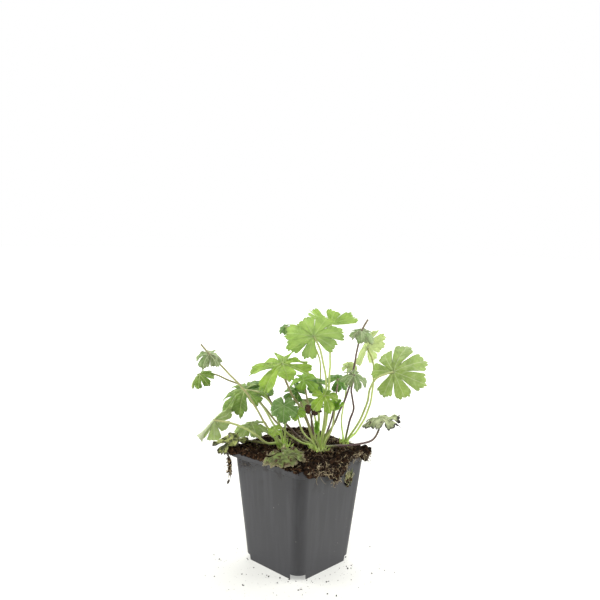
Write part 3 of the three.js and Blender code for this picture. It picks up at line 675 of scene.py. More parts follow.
@dataclass(frozen=True)
class MouldedPolypropylene:
    """Injection moulded black-grey polypropylene: a fine matt grain, soft gloss and a film of peat dust.

    The dust is thickest under the rim, where watering leaves it, and flow lines run up the walls. The wall
    is also painted lighter towards its foot, as painted light thrown up from the floor.
    """

    name: str = "moulded_polypropylene"
    body: str = "#2a2a2e"
    worn_and_lit: str = "#3c3c40"
    dust: str = "#221e1b"
    grit: str = "#8d8a84"
    painted_floor_light: float = 0.6
    cloud: float = 38
    smear: float = 11
    flow: float = 4.5
    grit_step: float = 5.5
    # A mould's real grain is about a tenth of a millimetre, too fine to show, so it is drawn coarser.
    grain: float = 0.35

    def material(self) -> Material:
        """Builds the material.

        Returns:
            The material.
        """
        material, add = new_material(self.name)
        place = add("TexCoord", [], "Object")
        hazy = {"Vector": place, "Scale": per(self.cloud), "Detail": 4.0, "Roughness": 0.6}
        haze = add("TexNoise", hazy, "Fac")
        clouds = add("MapRange", [haze, 0.35, 0.7, 0.0, 0.3], **SMOOTH)
        skin = add("Mix", {0: clouds, 6: self.body, 7: self.worn_and_lit}, **MIX)
        along = add("Mapping", {"Vector": place, "Scale": (1.0, 1.0, 0.03)})
        lines = add("TexNoise", {"Vector": along, "Scale": per(self.flow), "Detail": 2.0}, "Fac")
        drawn = add("MapRange", [lines, 0.42, 0.68, 0.0, 0.5], **SMOOTH)
        skin = add("Mix", {0: drawn, 6: skin, 7: self.worn_and_lit}, **MIX)
        height = add("SeparateXYZ", [place], "Z")
        # Painted light: the wall grows lighter towards its foot, as if lit from the floor below.
        low = add("MapRange", [height, 0.0, 0.08, self.painted_floor_light, 0.0], **SMOOTH)
        skin = add("Mix", {0: low, 6: skin, 7: self.worn_and_lit}, **MIX)
        high = add("MapRange", [height, 0.07, 0.1, 0.0, 0.75], **SMOOTH)
        dirt = {"Vector": place, "Scale": per(self.smear), "Detail": 5.0, "Roughness": 0.6, "Distortion": 0.4}
        film = add("MapRange", [add("TexNoise", dirt, "Fac"), 0.52, 0.66, 0.0, 1.0], **SMOOTH)
        smears = add("Math", [film, high], operation="MULTIPLY")
        skin = add("Mix", {0: smears, 6: skin, 7: self.dust}, **MIX)
        grit = {"Vector": place, "Scale": per(self.grit_step), "Randomness": 1.0}
        dots = add("MapRange", [add("TexVoronoi", grit, "Distance"), 0.05, 0.09, 1.0, 0.0], **SMOOTH)
        few = add("MapRange", [haze, 0.5, 0.6, 0.0, 0.8], **SMOOTH)
        specks = add("Math", [dots, few], operation="MULTIPLY")
        skin = add("Mix", {0: specks, 6: skin, 7: self.grit}, **MIX)
        gloss = add("MapRange", [clouds, 0.0, 0.35, 0.42, 0.5])
        gloss = add("Math", [smears, 0.4, gloss], operation="MULTIPLY_ADD")
        fine = add("TexNoise", {"Vector": place, "Scale": per(self.grain), "Detail": 2.0}, "Fac")
        relief = add("Bump", {"Height": fine, "Distance": 0.05 * MM, "Strength": 0.35})
        look = {"Base Color": skin, "Roughness": gloss, "Normal": relief, "Specular IOR Level": 0.45}
        add("OutputMaterial", [add("BsdfPrincipled", look)])
        return material


@dataclass(frozen=True)
class Peat:
    """Damp sphagnum peat: near-black crumbs with red-brown and straw-coloured fibres, quite without gloss."""

    name: str = "damp_peat"
    dark: str = "#1c120c"
    mid: str = "#3a2618"
    light: str = "#7a5a3c"
    # Whether it is coloured crumb by crumb, by the value "shade", or by clods and specks.
    crumb: bool = False
    clod: float = 2.6
    speck: float = 0.9
    grain: float = 1

    def material(self) -> Material:
        """Builds the material.

        Returns:
            The material.
        """
        material, add = new_material(self.name)
        place = add("TexCoord", [], "Object")
        cloddy = {"Vector": place, "Scale": per(self.clod), "Detail": 6.0, "Roughness": 0.7}
        clods = add("TexNoise", cloddy, "Fac")
        shade = add("Attribute", [], "Fac", attribute_name="shade")
        brown = [shade, 0.12, 0.6, 0.0, 1.0] if self.crumb else [clods, 0.42, 0.6, 0.0, 1.0]
        skin = add("Mix", {0: add("MapRange", brown, **SMOOTH), 6: self.dark, 7: self.mid}, **MIX)
        specked = {"Vector": place, "Scale": per(self.speck), "Detail": 4.0, "Distortion": 1.2}
        specks = add("TexNoise", specked, "Fac")
        pale = [shade, 0.74, 0.92, 0.0, 0.95] if self.crumb else [specks, 0.58, 0.68, 0.0, 0.8]
        skin = add("Mix", {0: add("MapRange", pale, **SMOOTH), 6: skin, 7: self.light}, **MIX)
        grainy = {"Vector": place, "Scale": per(self.grain), "Detail": 8.0, "Roughness": 0.7}
        rough = add("TexNoise", grainy, "Fac")
        relief = add("Bump", {"Height": rough, "Distance": 1.2 * MM, "Strength": 1.0})
        look = {"Base Color": skin, "Roughness": 0.92, "Normal": relief, "Specular IOR Level": 0.08}
        add("OutputMaterial", [add("BsdfPrincipled", look)])
        return material


@dataclass(frozen=True)
class PlantFibre:
    """A dry fibre or rootlet in the peat, from dark brown to straw by the fibre."""

    name: str = "plant_fibre"
    dark: str = "#3f2a1c"
    light: str = "#cdbd96"
    patch: float = 3

    def material(self) -> Material:
        """Builds the material.

        Returns:
            The material.
        """
        material, add = new_material(self.name)
        place = add("TexCoord", [], "Object")
        shade = add("Attribute", [], "Fac", attribute_name="shade")
        straw = add("MapRange", [shade, 0.4, 1.0, 0.0, 1.0], **SMOOTH)
        skin = add("Mix", {0: straw, 6: self.dark, 7: self.light}, **MIX)
        stain = add("TexNoise", {"Vector": place, "Scale": per(self.patch), "Detail": 3.0}, "Fac")
        stained = add("MapRange", [stain, 0.4, 0.7, 0.0, 0.5], **SMOOTH)
        skin = add("Mix", {0: stained, 6: skin, 7: self.dark}, **MIX)
        relief = add("Bump", {"Height": stain, "Distance": 0.1 * MM, "Strength": 0.5})
        look = {"Base Color": skin, "Roughness": 0.7, "Normal": relief}
        add("OutputMaterial", [add("BsdfPrincipled", look)])
        return material


@dataclass(frozen=True)
class MossShoot:
    """A moss shoot: fine, matt, from olive green to straw at its dry tips."""

    name: str = "moss_shoot"
    green: str = "#6f7a3e"
    straw: str = "#e2dbae"
    brown: str = "#6b5a38"

    def material(self) -> Material:
        """Builds the material.

        Returns:
            The material.
        """
        material, add = new_material(self.name)
        shade = add("Attribute", [], "Fac", attribute_name="shade")
        dry = add("MapRange", [shade, 0.35, 0.75, 0.0, 1.0], **SMOOTH)
        skin = add("Mix", {0: dry, 6: self.green, 7: self.straw}, **MIX)
        rise = add("Attribute", [], "Fac", attribute_name="rise")
        low = add("MapRange", [rise, 0.0, 0.4, 0.8, 0.0], **SMOOTH)
        skin = add("Mix", {0: low, 6: skin, 7: self.brown}, **MIX)
        add("OutputMaterial", [add("BsdfPrincipled", {"Base Color": skin, "Roughness": 0.7})])
        return material


class Foliage(Enum):
    """The kinds of blade on this plant."""

    TOP = LeafTissue("top", "#82a64e", "#bad494", "#e4ecca", "#d4e68a", "#86a858", 0.52, 0.3)
    BRIGHT = LeafTissue("bright", "#9fc146", "#c4da78", "#e0ea9c", "#c8e054", "#6a8c34", 0.45)
    FRESH = LeafTissue("fresh", "#7a9a38", "#a2bc6a", "#ccd692", "#a8c846", "#47661f", 0.38, 0.6)
    # Painted light: a paler copy of the living tissue, for blades washed out by the light.
    PALE_BY_LIGHT = LeafTissue("pale", "#b4c480", "#ccd6a8", "#dcdfbe", "#d8e4aa", "#c3cf98", 0.6)
    SOFT = LeafTissue("soft", "#a2bc62", "#c8d89c", "#dee4ba", "#bccf76", "#82994f", 0.4)
    DULL = LeafTissue("dull", "#6c9044", "#a0be74", "#b0c888", "#90bc4c", "#547838", 0.3)
    DARK = LeafTissue("dark", "#51802e", "#a3ba6a", "#a0bc60", "#84b03a", "#3d6326", 0.28)
    STEM = LeafTissue("stem", "#809c5c", "#b8c898", "#ccd8a8", "#98b45c", "#5f5a40", 0.25, 0.6)
    SILVER = LeafTissue("silver", "#bacd88", "#d4dfb4", "#e6ebcc", "#ccde88", "#94a866", 0.45, 0.3)
    VIVID = LeafTissue("vivid", "#97ba44", "#bedc7a", "#cde48a", "#bce04a", "#74a034", 0.42)
    WITHERED = WitheredTissue("withered_leaf", "#c4cc9e", "#93a074", "#4e4638", "#403c40", 0.35)
    ROTTEN = WitheredTissue("rotten_leaf", "#b2b96e", "#474c2e", "#2a2418", "#3a3424", 0.42)
    SPOTTED = WitheredTissue("spotted_leaf", "#7a8a4c", "#565e38", "#463024", "#827a5c", 0.9)
    DEAD = WitheredTissue("dead_leaf", "#523426", "#3a261c", "#221610", "#2c1c16", 0.6, 0.05)


class Stalk(Enum):
    """The kinds of stalk on this plant."""

    GREEN = StalkSkin("stalk_green", "#cdea7a", "#b8c976", "#b2bb78", "#8a7048", 0.4)
    BLUSHED = StalkSkin("stalk_blushed", "#cbe67a", "#a9ac6a", "#8f9064", "#6c4a3f", 0.55)
    REDDISH = StalkSkin("stalk_reddish", "#a4ba5c", "#5f4544", "#756848", "#4d3038", 0.5)


# ---- peat's height


@dataclass(frozen=True)
class Ground:
    """The form of the peat's top: a mound, higher at the back, with seeded waves."""

    edge: float = 98.2
    mound: float = 3.2
    mound_reach: float = 56.25
    back_rise: float = 3.6
    rise_from: float = -10
    rise_to: float = 45
    wave_count: int = 9
    wave_height: float = 0.3
    wave_least: float = 0.12
    wave_spread: float = 0.3
    seed: int = 5

    def height(self, places: Array) -> Array:
        """The peat's height at places in the plant.

        edge + mound (1 - reach^2) + back_rise smoothstep(back) + the sum of the waves, each of which is
        wave_height sin(along way + phase). Reach is the distance from the middle over mound_reach, up to 1.

        Args:
            places: (..., 2) right and back in millimetres.

        Returns:
            (...) heights in millimetres.
        """
        right, back = places[..., 0], places[..., 1]
        reach = np.minimum(1, np.hypot(right, back) / self.mound_reach)
        height = self.edge + self.mound * (1 - reach**2)
        height = height + self.back_rise * ramp(back, self.rise_from, self.rise_to)
        draws = Draws(self.seed)
        for _ in range(self.wave_count):
            along = self.wave_least + self.wave_spread * draws.next()
            turn, phase = math.tau * draws.next(), math.tau * draws.next()
            way = right * math.cos(turn) + back * math.sin(turn)
            height = height + self.wave_height * np.sin(along * way + phase)
        return height


GROUND = Ground()


# ---- crowns


@dataclass
class Crown:
    """A squat knuckle of old leaf bases, with short pointed sheaths round it."""

    side: str
    at: Pair
    radius: float
    seed: int
    sheaths: int = 9
    depth: float = 4.5
    rise: float = 4.5
    rows: int = 22
    columns: int = 72
    sheath_out: Pair = (0.4, 0.95)
    sheath_tall: Pair = (4.5, 9.0)
    sheath_radius: float = 1.25

    def body(self) -> Surface:
        """The knuckle, as rings from its foot in the peat to its top.

        At a share s of its height, from 0.04 to 0.97, a ring's radius is the crown's own times
        sin(pi s^0.85)^0.55 (1 - 0.45 s), times 1 + ribs, where the ribs are two waves round the ring.

        Returns:
            The knuckle, with the value "rise", the share of its height.
        """
        share = np.linspace(0.04, 0.97, self.rows)[:, None]
        angle = np.linspace(0, math.tau, self.columns, endpoint=False)[None]
        ground = float(GROUND.height(np.array(self.at)))
        wide = self.radius * np.sin(math.pi * share**0.85) ** 0.55 * (1 - 0.45 * share)
        ribs = 0.07 * np.cos(7 * angle + 2.4 * share + self.seed) + 0.05 * np.cos(12 * angle - 3 * share)
        wide = wide * (1 + ribs)
        bumps = 0.4 * np.sin(5 * angle + self.seed) * share
        up = ground - self.depth + share * (self.depth + self.rise) + bumps
        right, back = self.at[0] + wide * np.cos(angle), self.at[1] + wide * np.sin(angle)
        rows = np.stack([right, back, up * np.ones_like(wide)], -1)
        poles = np.array([(*self.at, ground - self.depth - 0.2), (*self.at, ground + self.rise + 0.2)])
        surface = closed_skin(from_front(rows), *from_front(poles))
        surface.values["rise"] = np.concatenate([np.repeat(share, self.columns), [0.0, 1.0]])
        return surface

    def tips(self) -> Surface:
        """Pointed sheaths that lean out of the knuckle, each a tapering tube on a curved line.

        For t from 0 to 1, a sheath's line goes out (1 + 0.35 t^2) from the crown's middle and rises by
        tall t, and its radius is sheath_radius (1 - 0.93 t^1.6), times a seeded factor.

        Returns:
            One surface of all the sheaths.
        """
        rng = np.random.default_rng(self.seed)
        ground = float(GROUND.height(np.array(self.at)))
        angle = np.linspace(0, math.tau, self.sheaths, endpoint=False)
        angle = angle + rng.uniform(-0.3, 0.3, self.sheaths)
        out = self.radius * rng.uniform(*self.sheath_out, self.sheaths)
        tall = rng.uniform(*self.sheath_tall, self.sheaths)
        t = np.linspace(0, 1, 9)[None]
        reach = out[:, None] * (1 + 0.35 * t**2)
        right = self.at[0] + reach * np.cos(angle)[:, None]
        back = self.at[1] + reach * np.sin(angle)[:, None]
        up = ground - 0.5 + t * tall[:, None]
        radii = MM * self.sheath_radius * (1 - 0.93 * t**1.6) * rng.uniform(0.75, 1.1, (self.sheaths, 1))
        return tubes(from_front(np.stack([right, back, up], -1)), radii, 8)

    def build(self, finish: Material) -> None:
        """Makes the crown's piece."""
        parts = [self.body(), self.tips()]
        make_piece(f"leaf_bases_{self.side}", parts, [finish], (f"crown_{self.side}",))


CROWNS = {
    "left": Crown("left", (-13, -5), 8, 11, sheaths=12),
    "middle": Crown("middle", (17, -9), 8.5, 12, sheaths=17),
    "right": Crown("right", (41, 11), 5, 13, sheaths=7),
}


# ---- leaves


# The gap between the outer lobes, where the stalk joins; the reach at which a lobe's side ends and its
# teeth start; and how near to the centre the notch by the stalk comes, as a share of the radius.
BASE_GAP = math.radians(24)
SIDE_END = 0.76
NOTCH_SHARE = 0.1
# The first leaf's seed, the same as for its solid. Each leaf after it has the next number.
LEAF_SEED = 100


def lobe_edge(cut: float, steps: int) -> tuple[Array, Array]:
    """The edge of one lobe, from the cut beside it, out along its side, over its teeth and back.

    Up the side, the place across goes from 1 to 0.95 while the reach goes from the cut to 0.76. Over the
    end, at a place across a, the reach is 0.93 - 0.17 |a|^3 + 0.078 |cos(2.5 pi a)|^0.6, which makes five
    blunt teeth with sharp notches.

    Args:
        cut: how far in the cuts reach, as a share of the lobe's length.
        steps: steps along each half of the edge.

    Returns:
        The places across, from -1 to 1, and the reaches as shares of the lobe's length.
    """
    side = np.linspace(0, 1, steps // 3, endpoint=False)
    end = np.linspace(0.95, 0, steps - steps // 3)
    across = np.concatenate([1 - 0.05 * side**0.6, end])
    teeth = 0.93 - 0.17 * end**3 + 0.078 * np.abs(np.cos(2.5 * math.pi * end)) ** 0.6
    reach = np.concatenate([cut + (SIDE_END - cut) * side, teeth])
    return np.concatenate([-across, across[-2::-1]]), np.concatenate([reach, reach[-2::-1]])


@dataclass(frozen=True)
class LeafPlan:
    """One leaf: where it grows, the way its stalk goes, how its blade lies, and what it looks like."""

    name: str
    crown: str
    root: Pair
    route: list[Triple]
    centre: Triple | None
    face: Triple
    tip: Triple
    radius: float
    droop: float
    foliage: Foliage
    stalk: Stalk
    # How wide its lobes are, how far in the cuts between them reach, and how much the lobes differ.
    lobe_width: float = 1.0
    cut: float = 0.3
    unruly: float = 1.0
    # How far each lobe folds up along its midrib, and the blade's halves along the middle one.
    fold: float = 0.08
    close: float = 0.0
    wave: float = 0.5
    crumple: float = 0.0
    blade_at: int | None = None

    @property
    def middle(self) -> Triple:
        """The place of the blade's centre."""
        return self.centre if self.centre is not None else self.route[self.blade_at or 0]


@dataclass
class Leaf:
    """A lobed round blade on its stalk, fused as they grew."""

    plan: LeafPlan
    seed: int
    broad_radius: float = 15.5
    outer_lobe_loss: float = 0.14
    length_spread: float = 0.1
    lift_spread: float = 0.3
    thickness: float = 0.42
    edge_thinning: float = 0.45
    vein_sink: float = 0.3
    vein_width: float = 0.8
    vein_rib: float = 0.32
    rib_width: float = 0.55
    edge_waves: int = 9
    wave_radius: float = 26
    ripple: float = 0.26
    ripple_step: float = 4.5
    crumple_step: float = 11.0
    tooth_shift: float = 0.07
    side_steps: int = 30
    rows: int = 12
    stalk_sides: int = 10
    stalk_base: float = 1.05
    stalk_tip: float = 0.92
    least_share: float = 0.72
    share_growth: float = 0.012
    root_depth: float = 3.4
    root_lean: float = 0.75
    root_rise: float = 4.5
    root_pull: float = 0.58
    wander: float = 0.25
    wander_step: float = 22
    sheath: float = 0.4
    sheath_length: float = 9
    stalk_steps: int = 48
    stalk_hairs: int = 100
    edge_hairs: int = 80
    hair_length: Pair = (0.6, 1.3)
    # Real hairs are less than half as thick, too fine to show.
    hair_radius: float = 0.05

    def edge(self) -> tuple[Array, Array, Array, Array]:
        """The blade's edge, lobe by lobe, and the notch where the stalk joins.

        Returns:
            For each column: its angle, the edge's distance from the centre, the angle from its lobe's middle
            (signed), and the lobe's lift.
        """
        plan = self.plan
        lobes = 7 if plan.radius > self.broad_radius else 5
        half = (math.pi - BASE_GAP / 2) / lobes
        draws = Draws(self.seed)
        rng = np.random.default_rng(self.seed)
        angles, reaches, offsets, lifts = [], [], [], []
        for lobe in range(lobes):
            aim = -math.pi + BASE_GAP / 2 + (2 * lobe + 1) * half
            sideways = abs(lobe - (lobes - 1) / 2) / ((lobes - 1) / 2)
            spread = plan.unruly * self.length_spread * (draws.next() - 0.5)
            length = plan.radius * (1 - self.outer_lobe_loss * sideways**2 + spread)
            lift = plan.unruly * self.lift_spread * (draws.next() - 0.5)
            cut = plan.cut * plan.radius / length
            across, grown = lobe_edge(cut, self.side_steps)
            toothed = ramp(grown, 0.6, 0.8)
            uneven = 0.035 * np.sin(6 * across + rng.uniform(0, 6)) + 0.05 * across * rng.uniform(-1, 1)
            grown = grown * (1 + toothed * uneven)
            slack = np.clip((SIDE_END - grown) / (SIDE_END - cut), 0, 1)
            shifted = across + self.tooth_shift * (1 - across**2) * np.sin(5 * across + rng.uniform(0, 6))
            offset = shifted * half * (plan.lobe_width + (1 - plan.lobe_width) * slack)
            first = 0 if lobe == 0 else 1
            angles.append((aim + offset)[first:])
            reaches.append((grown * length)[first:])
            offsets.append(offset[first:])
            lifts.append(np.full(len(across), lift)[first:])
        sinus = np.linspace(0, 1, 9)[1:-1]
        angles.append(math.pi - BASE_GAP / 2 + BASE_GAP * sinus)
        dip = np.abs(2 * sinus - 1)
        reaches.append(plan.radius * (NOTCH_SHARE + (plan.cut - NOTCH_SHARE) * dip**1.2))
        offsets.append(half * np.where(sinus < 0.5, 1 + sinus, -2 + sinus))
        lifts.append(np.zeros(len(sinus)))
        return tuple(np.concatenate(one) for one in (angles, reaches, offsets, lifts))

    def blade(self) -> Surface:
        """The blade, as a thin shell round its middle surface.

        At reach h from the centre, at an angle a, the surface lies out = sin(b h) / b and
        up = (cos(b h) - 1) / b + lift max(0, h - cut), where b = droop / radius. On that lie the lobes'
        folds, the sunken veins, a wave round the edge and fine ripples. Its two halves are then turned up
        about the middle lobe's midrib by the angle close, and a limp blade gets its crumples. Half the
        thickness is added to each side along the surface's own normals, and more along the veins below.

        Returns:
            The shell, with the values "upper", "vein_gap", "reach" and "margin".
        """
        plan = self.plan
        angle, edge, offset, lift = self.edge()
        bend = plan.droop / plan.radius
        share = np.linspace(0, 1, self.rows + 1)[1:, None] ** 0.92
        reach = share * edge
        out = np.sin(bend * reach) / bend
        cut = plan.cut * plan.radius
        gap = reach * np.abs(offset)
        beyond = np.maximum(0, reach - cut)
        up = (np.cos(bend * reach) - 1) / bend + lift * beyond
        up = up + plan.fold * gap * np.minimum(1, reach / plan.radius)
        up = up - self.vein_sink * np.exp(-((gap / self.vein_width) ** 2)) * (1 - 0.6 * share)
        waves = np.sin(self.edge_waves * angle + self.seed)
        up = up + plan.wave * share**3 * waves * plan.radius / self.wave_radius
        flat = np.stack([out * np.cos(angle), out * np.sin(angle)], -1)
        up = up + self.ripple * ripples(flat, self.ripple_step, self.seed)
        sideways = out * np.sin(angle)
        rolled = np.abs(sideways) * math.sin(plan.close) + up * math.cos(plan.close)
        sideways = sideways * math.cos(plan.close) - np.sign(sideways) * up * math.sin(plan.close)
        local = np.stack([out * np.cos(angle), sideways, rolled], -1)
        if plan.crumple:
            shaken = [ripples(local[..., :2], self.crumple_step, self.seed + i) for i in range(3)]
            local = local + plan.crumple * share[..., None] * np.stack(shaken, -1) * np.array([0.5, 0.5, 1.0])
        along = np.gradient(local, axis=0)
        around = np.roll(local, -1, 1) - np.roll(local, 1, 1)
        normal = unit(np.cross(along, around))
        vein = self.vein_rib * np.exp(-((gap / self.rib_width) ** 2)) * (1 - share) ** 0.7
        half = self.thickness / 2 * (1 - self.edge_thinning * share**4)
        upper, lower = local + normal * half[..., None], local - normal * (half + vein)[..., None]
        poles = np.array([(0, 0, self.thickness / 2 - 0.3), (0, 0, -self.thickness / 2 - 0.5)])
        count, columns = reach.shape
        shell = np.arange(2 * count * columns).reshape(2, count, columns)
        top, under = shell
        first = 2 * count * columns
        faces = [
            strip(top[:-1], top[1:])[:, ::-1], fan(first, top[0]),
            strip(under[:-1], under[1:]), fan(first + 1, under[0][::-1]),
            strip(top[-1:], under[-1:])[:, ::-1],
        ]
        points = self.placed(np.concatenate([upper.reshape(-1, 3), lower.reshape(-1, 3), poles]))
        carried = {"vein_gap": gap, "reach": reach, "margin": np.broadcast_to(share, reach.shape)}
        values = {key: np.concatenate([one.ravel(), one.ravel(), [0, 0]]) for key, one in carried.items()}
        values["upper"] = np.concatenate([np.ones(count * columns), np.zeros(count * columns), [1.0, 0.0]])
        return Surface(points, faces, values)

    def placed(self, local: Array) -> Array:
        """Carries points of the blade to where it grows.

        Args:
            local: (..., 3) points of the blade with its face up and its middle lobe along x, in millimetres.

        Returns:
            (..., 3) places in the part's frame, in metres.
        """
        face = turned(self.plan.face)
        tip = unit(turned(self.plan.tip) - face * np.dot(turned(self.plan.tip), face))
        side = np.cross(face, tip)
        return from_front(self.plan.middle) + MM * (local @ np.stack([tip, side, face]))

    def petiole(self) -> Surface:
        """The stalk: a tube from its root in the crown, along its route and into the blade.

        Its radius goes from stalk_base to stalk_tip along its length, wider by the sheath near its root,
        where exp(-(way / sheath_length)^2) fades the sheath out, and small blades have thinner stalks.

        Returns:
            The tube.
        """
        plan = self.plan
        at = np.array(CROWNS[plan.crown].at)
        root = self.root_pull * np.array(plan.root)
        ground = float(GROUND.height(at))
        stops = [(*(at + self.root_lean * root), ground - self.root_depth)]
        stops += [(*(at + root), ground + self.root_rise)]
        stops += plan.route + ([plan.centre] if plan.centre is not None else [])
        path = smooth_path(from_front(stops), self.stalk_steps)
        shifts = [ripples(path, self.wander_step * MM, self.seed + i) for i in range(3)]
        path = path + self.wander * MM * np.stack(shifts, -1)
        share = min(1, self.least_share + plan.radius * self.share_growth)
        rise = np.linspace(0, 1, self.stalk_steps)
        length = np.linalg.norm(np.diff(path, axis=0), axis=1).sum() / MM
        sheath = self.sheath * np.exp(-((rise * length / self.sheath_length) ** 2))
        radii = share * (self.stalk_base + sheath + (self.stalk_tip - self.stalk_base) * rise)
        radii = radii * (1 + 0.03 * np.sin(40 * rise + self.seed))
        surface = tubes(path[None], MM * radii[None], self.stalk_sides)
        surface.finish = 1
        return surface

    def down(self, blade: Surface, petiole: Surface) -> Surface:
        """Fine hairs that stand out from the stalk, and outwards from the blade's edge.

        Each hair is a straight thin cone: foot + (way + a seeded lean) length t, with t from 0 to 1.

        Args:
            blade: the blade, whose upper rows end at its edge.
            petiole: the stalk, in rings.

        Returns:
            One surface of all the hairs.
        """
        rng = np.random.default_rng(self.seed + 7)
        steps, sides = self.stalk_steps, self.stalk_sides
        rings = petiole.points[: steps * sides].reshape(steps, sides, 3)
        step = rng.integers(2, steps - 2, self.stalk_hairs)
        side = rng.integers(0, sides, self.stalk_hairs)
        on_stalk = rings[step, side]
        off_stalk = unit(on_stalk - rings.mean(axis=1)[step])
        columns = (len(blade.points) - 2) // (2 * self.rows)
        rows = blade.points[: self.rows * columns].reshape(self.rows, columns, 3)
        column = rng.integers(0, columns, self.edge_hairs)
        on_edge = rows[-1, column]
        off_edge = unit(on_edge - rows[-3, column])
        feet, ways = np.concatenate([on_stalk, on_edge]), np.concatenate([off_stalk, off_edge])
        ways = unit(ways + 0.35 * rng.normal(size=ways.shape))
        length = MM * rng.uniform(*self.hair_length, (len(feet), 1, 1))
        t = np.linspace(0, 1, 3)[None, :, None]
        radii = MM * self.hair_radius * (1 - 0.85 * t[:, :, 0]) * np.ones((len(feet), 1))
        lines = feet[:, None] + ways[:, None] * length * t
        hairs = tubes(lines, radii, 3, unit(np.cross(ways, ways[:, [1, 2, 0]])))
        hairs.finish = 2
        return hairs

    def build(self, finishes: list[Material], slot: str) -> None:
        """Makes the leaf's piece.

        Args:
            finishes: the blade's, the stalk's and the hairs' materials.
            slot: a material slot; not used.
        """
        name = self.plan.name.removeprefix("leaf_")
        blade, petiole = self.blade(), self.petiole()
        surfaces = [blade, petiole, self.down(blade, petiole)]
        make_piece(f"{name}_blade_and_stalk", surfaces, finishes, (self.plan.name,))


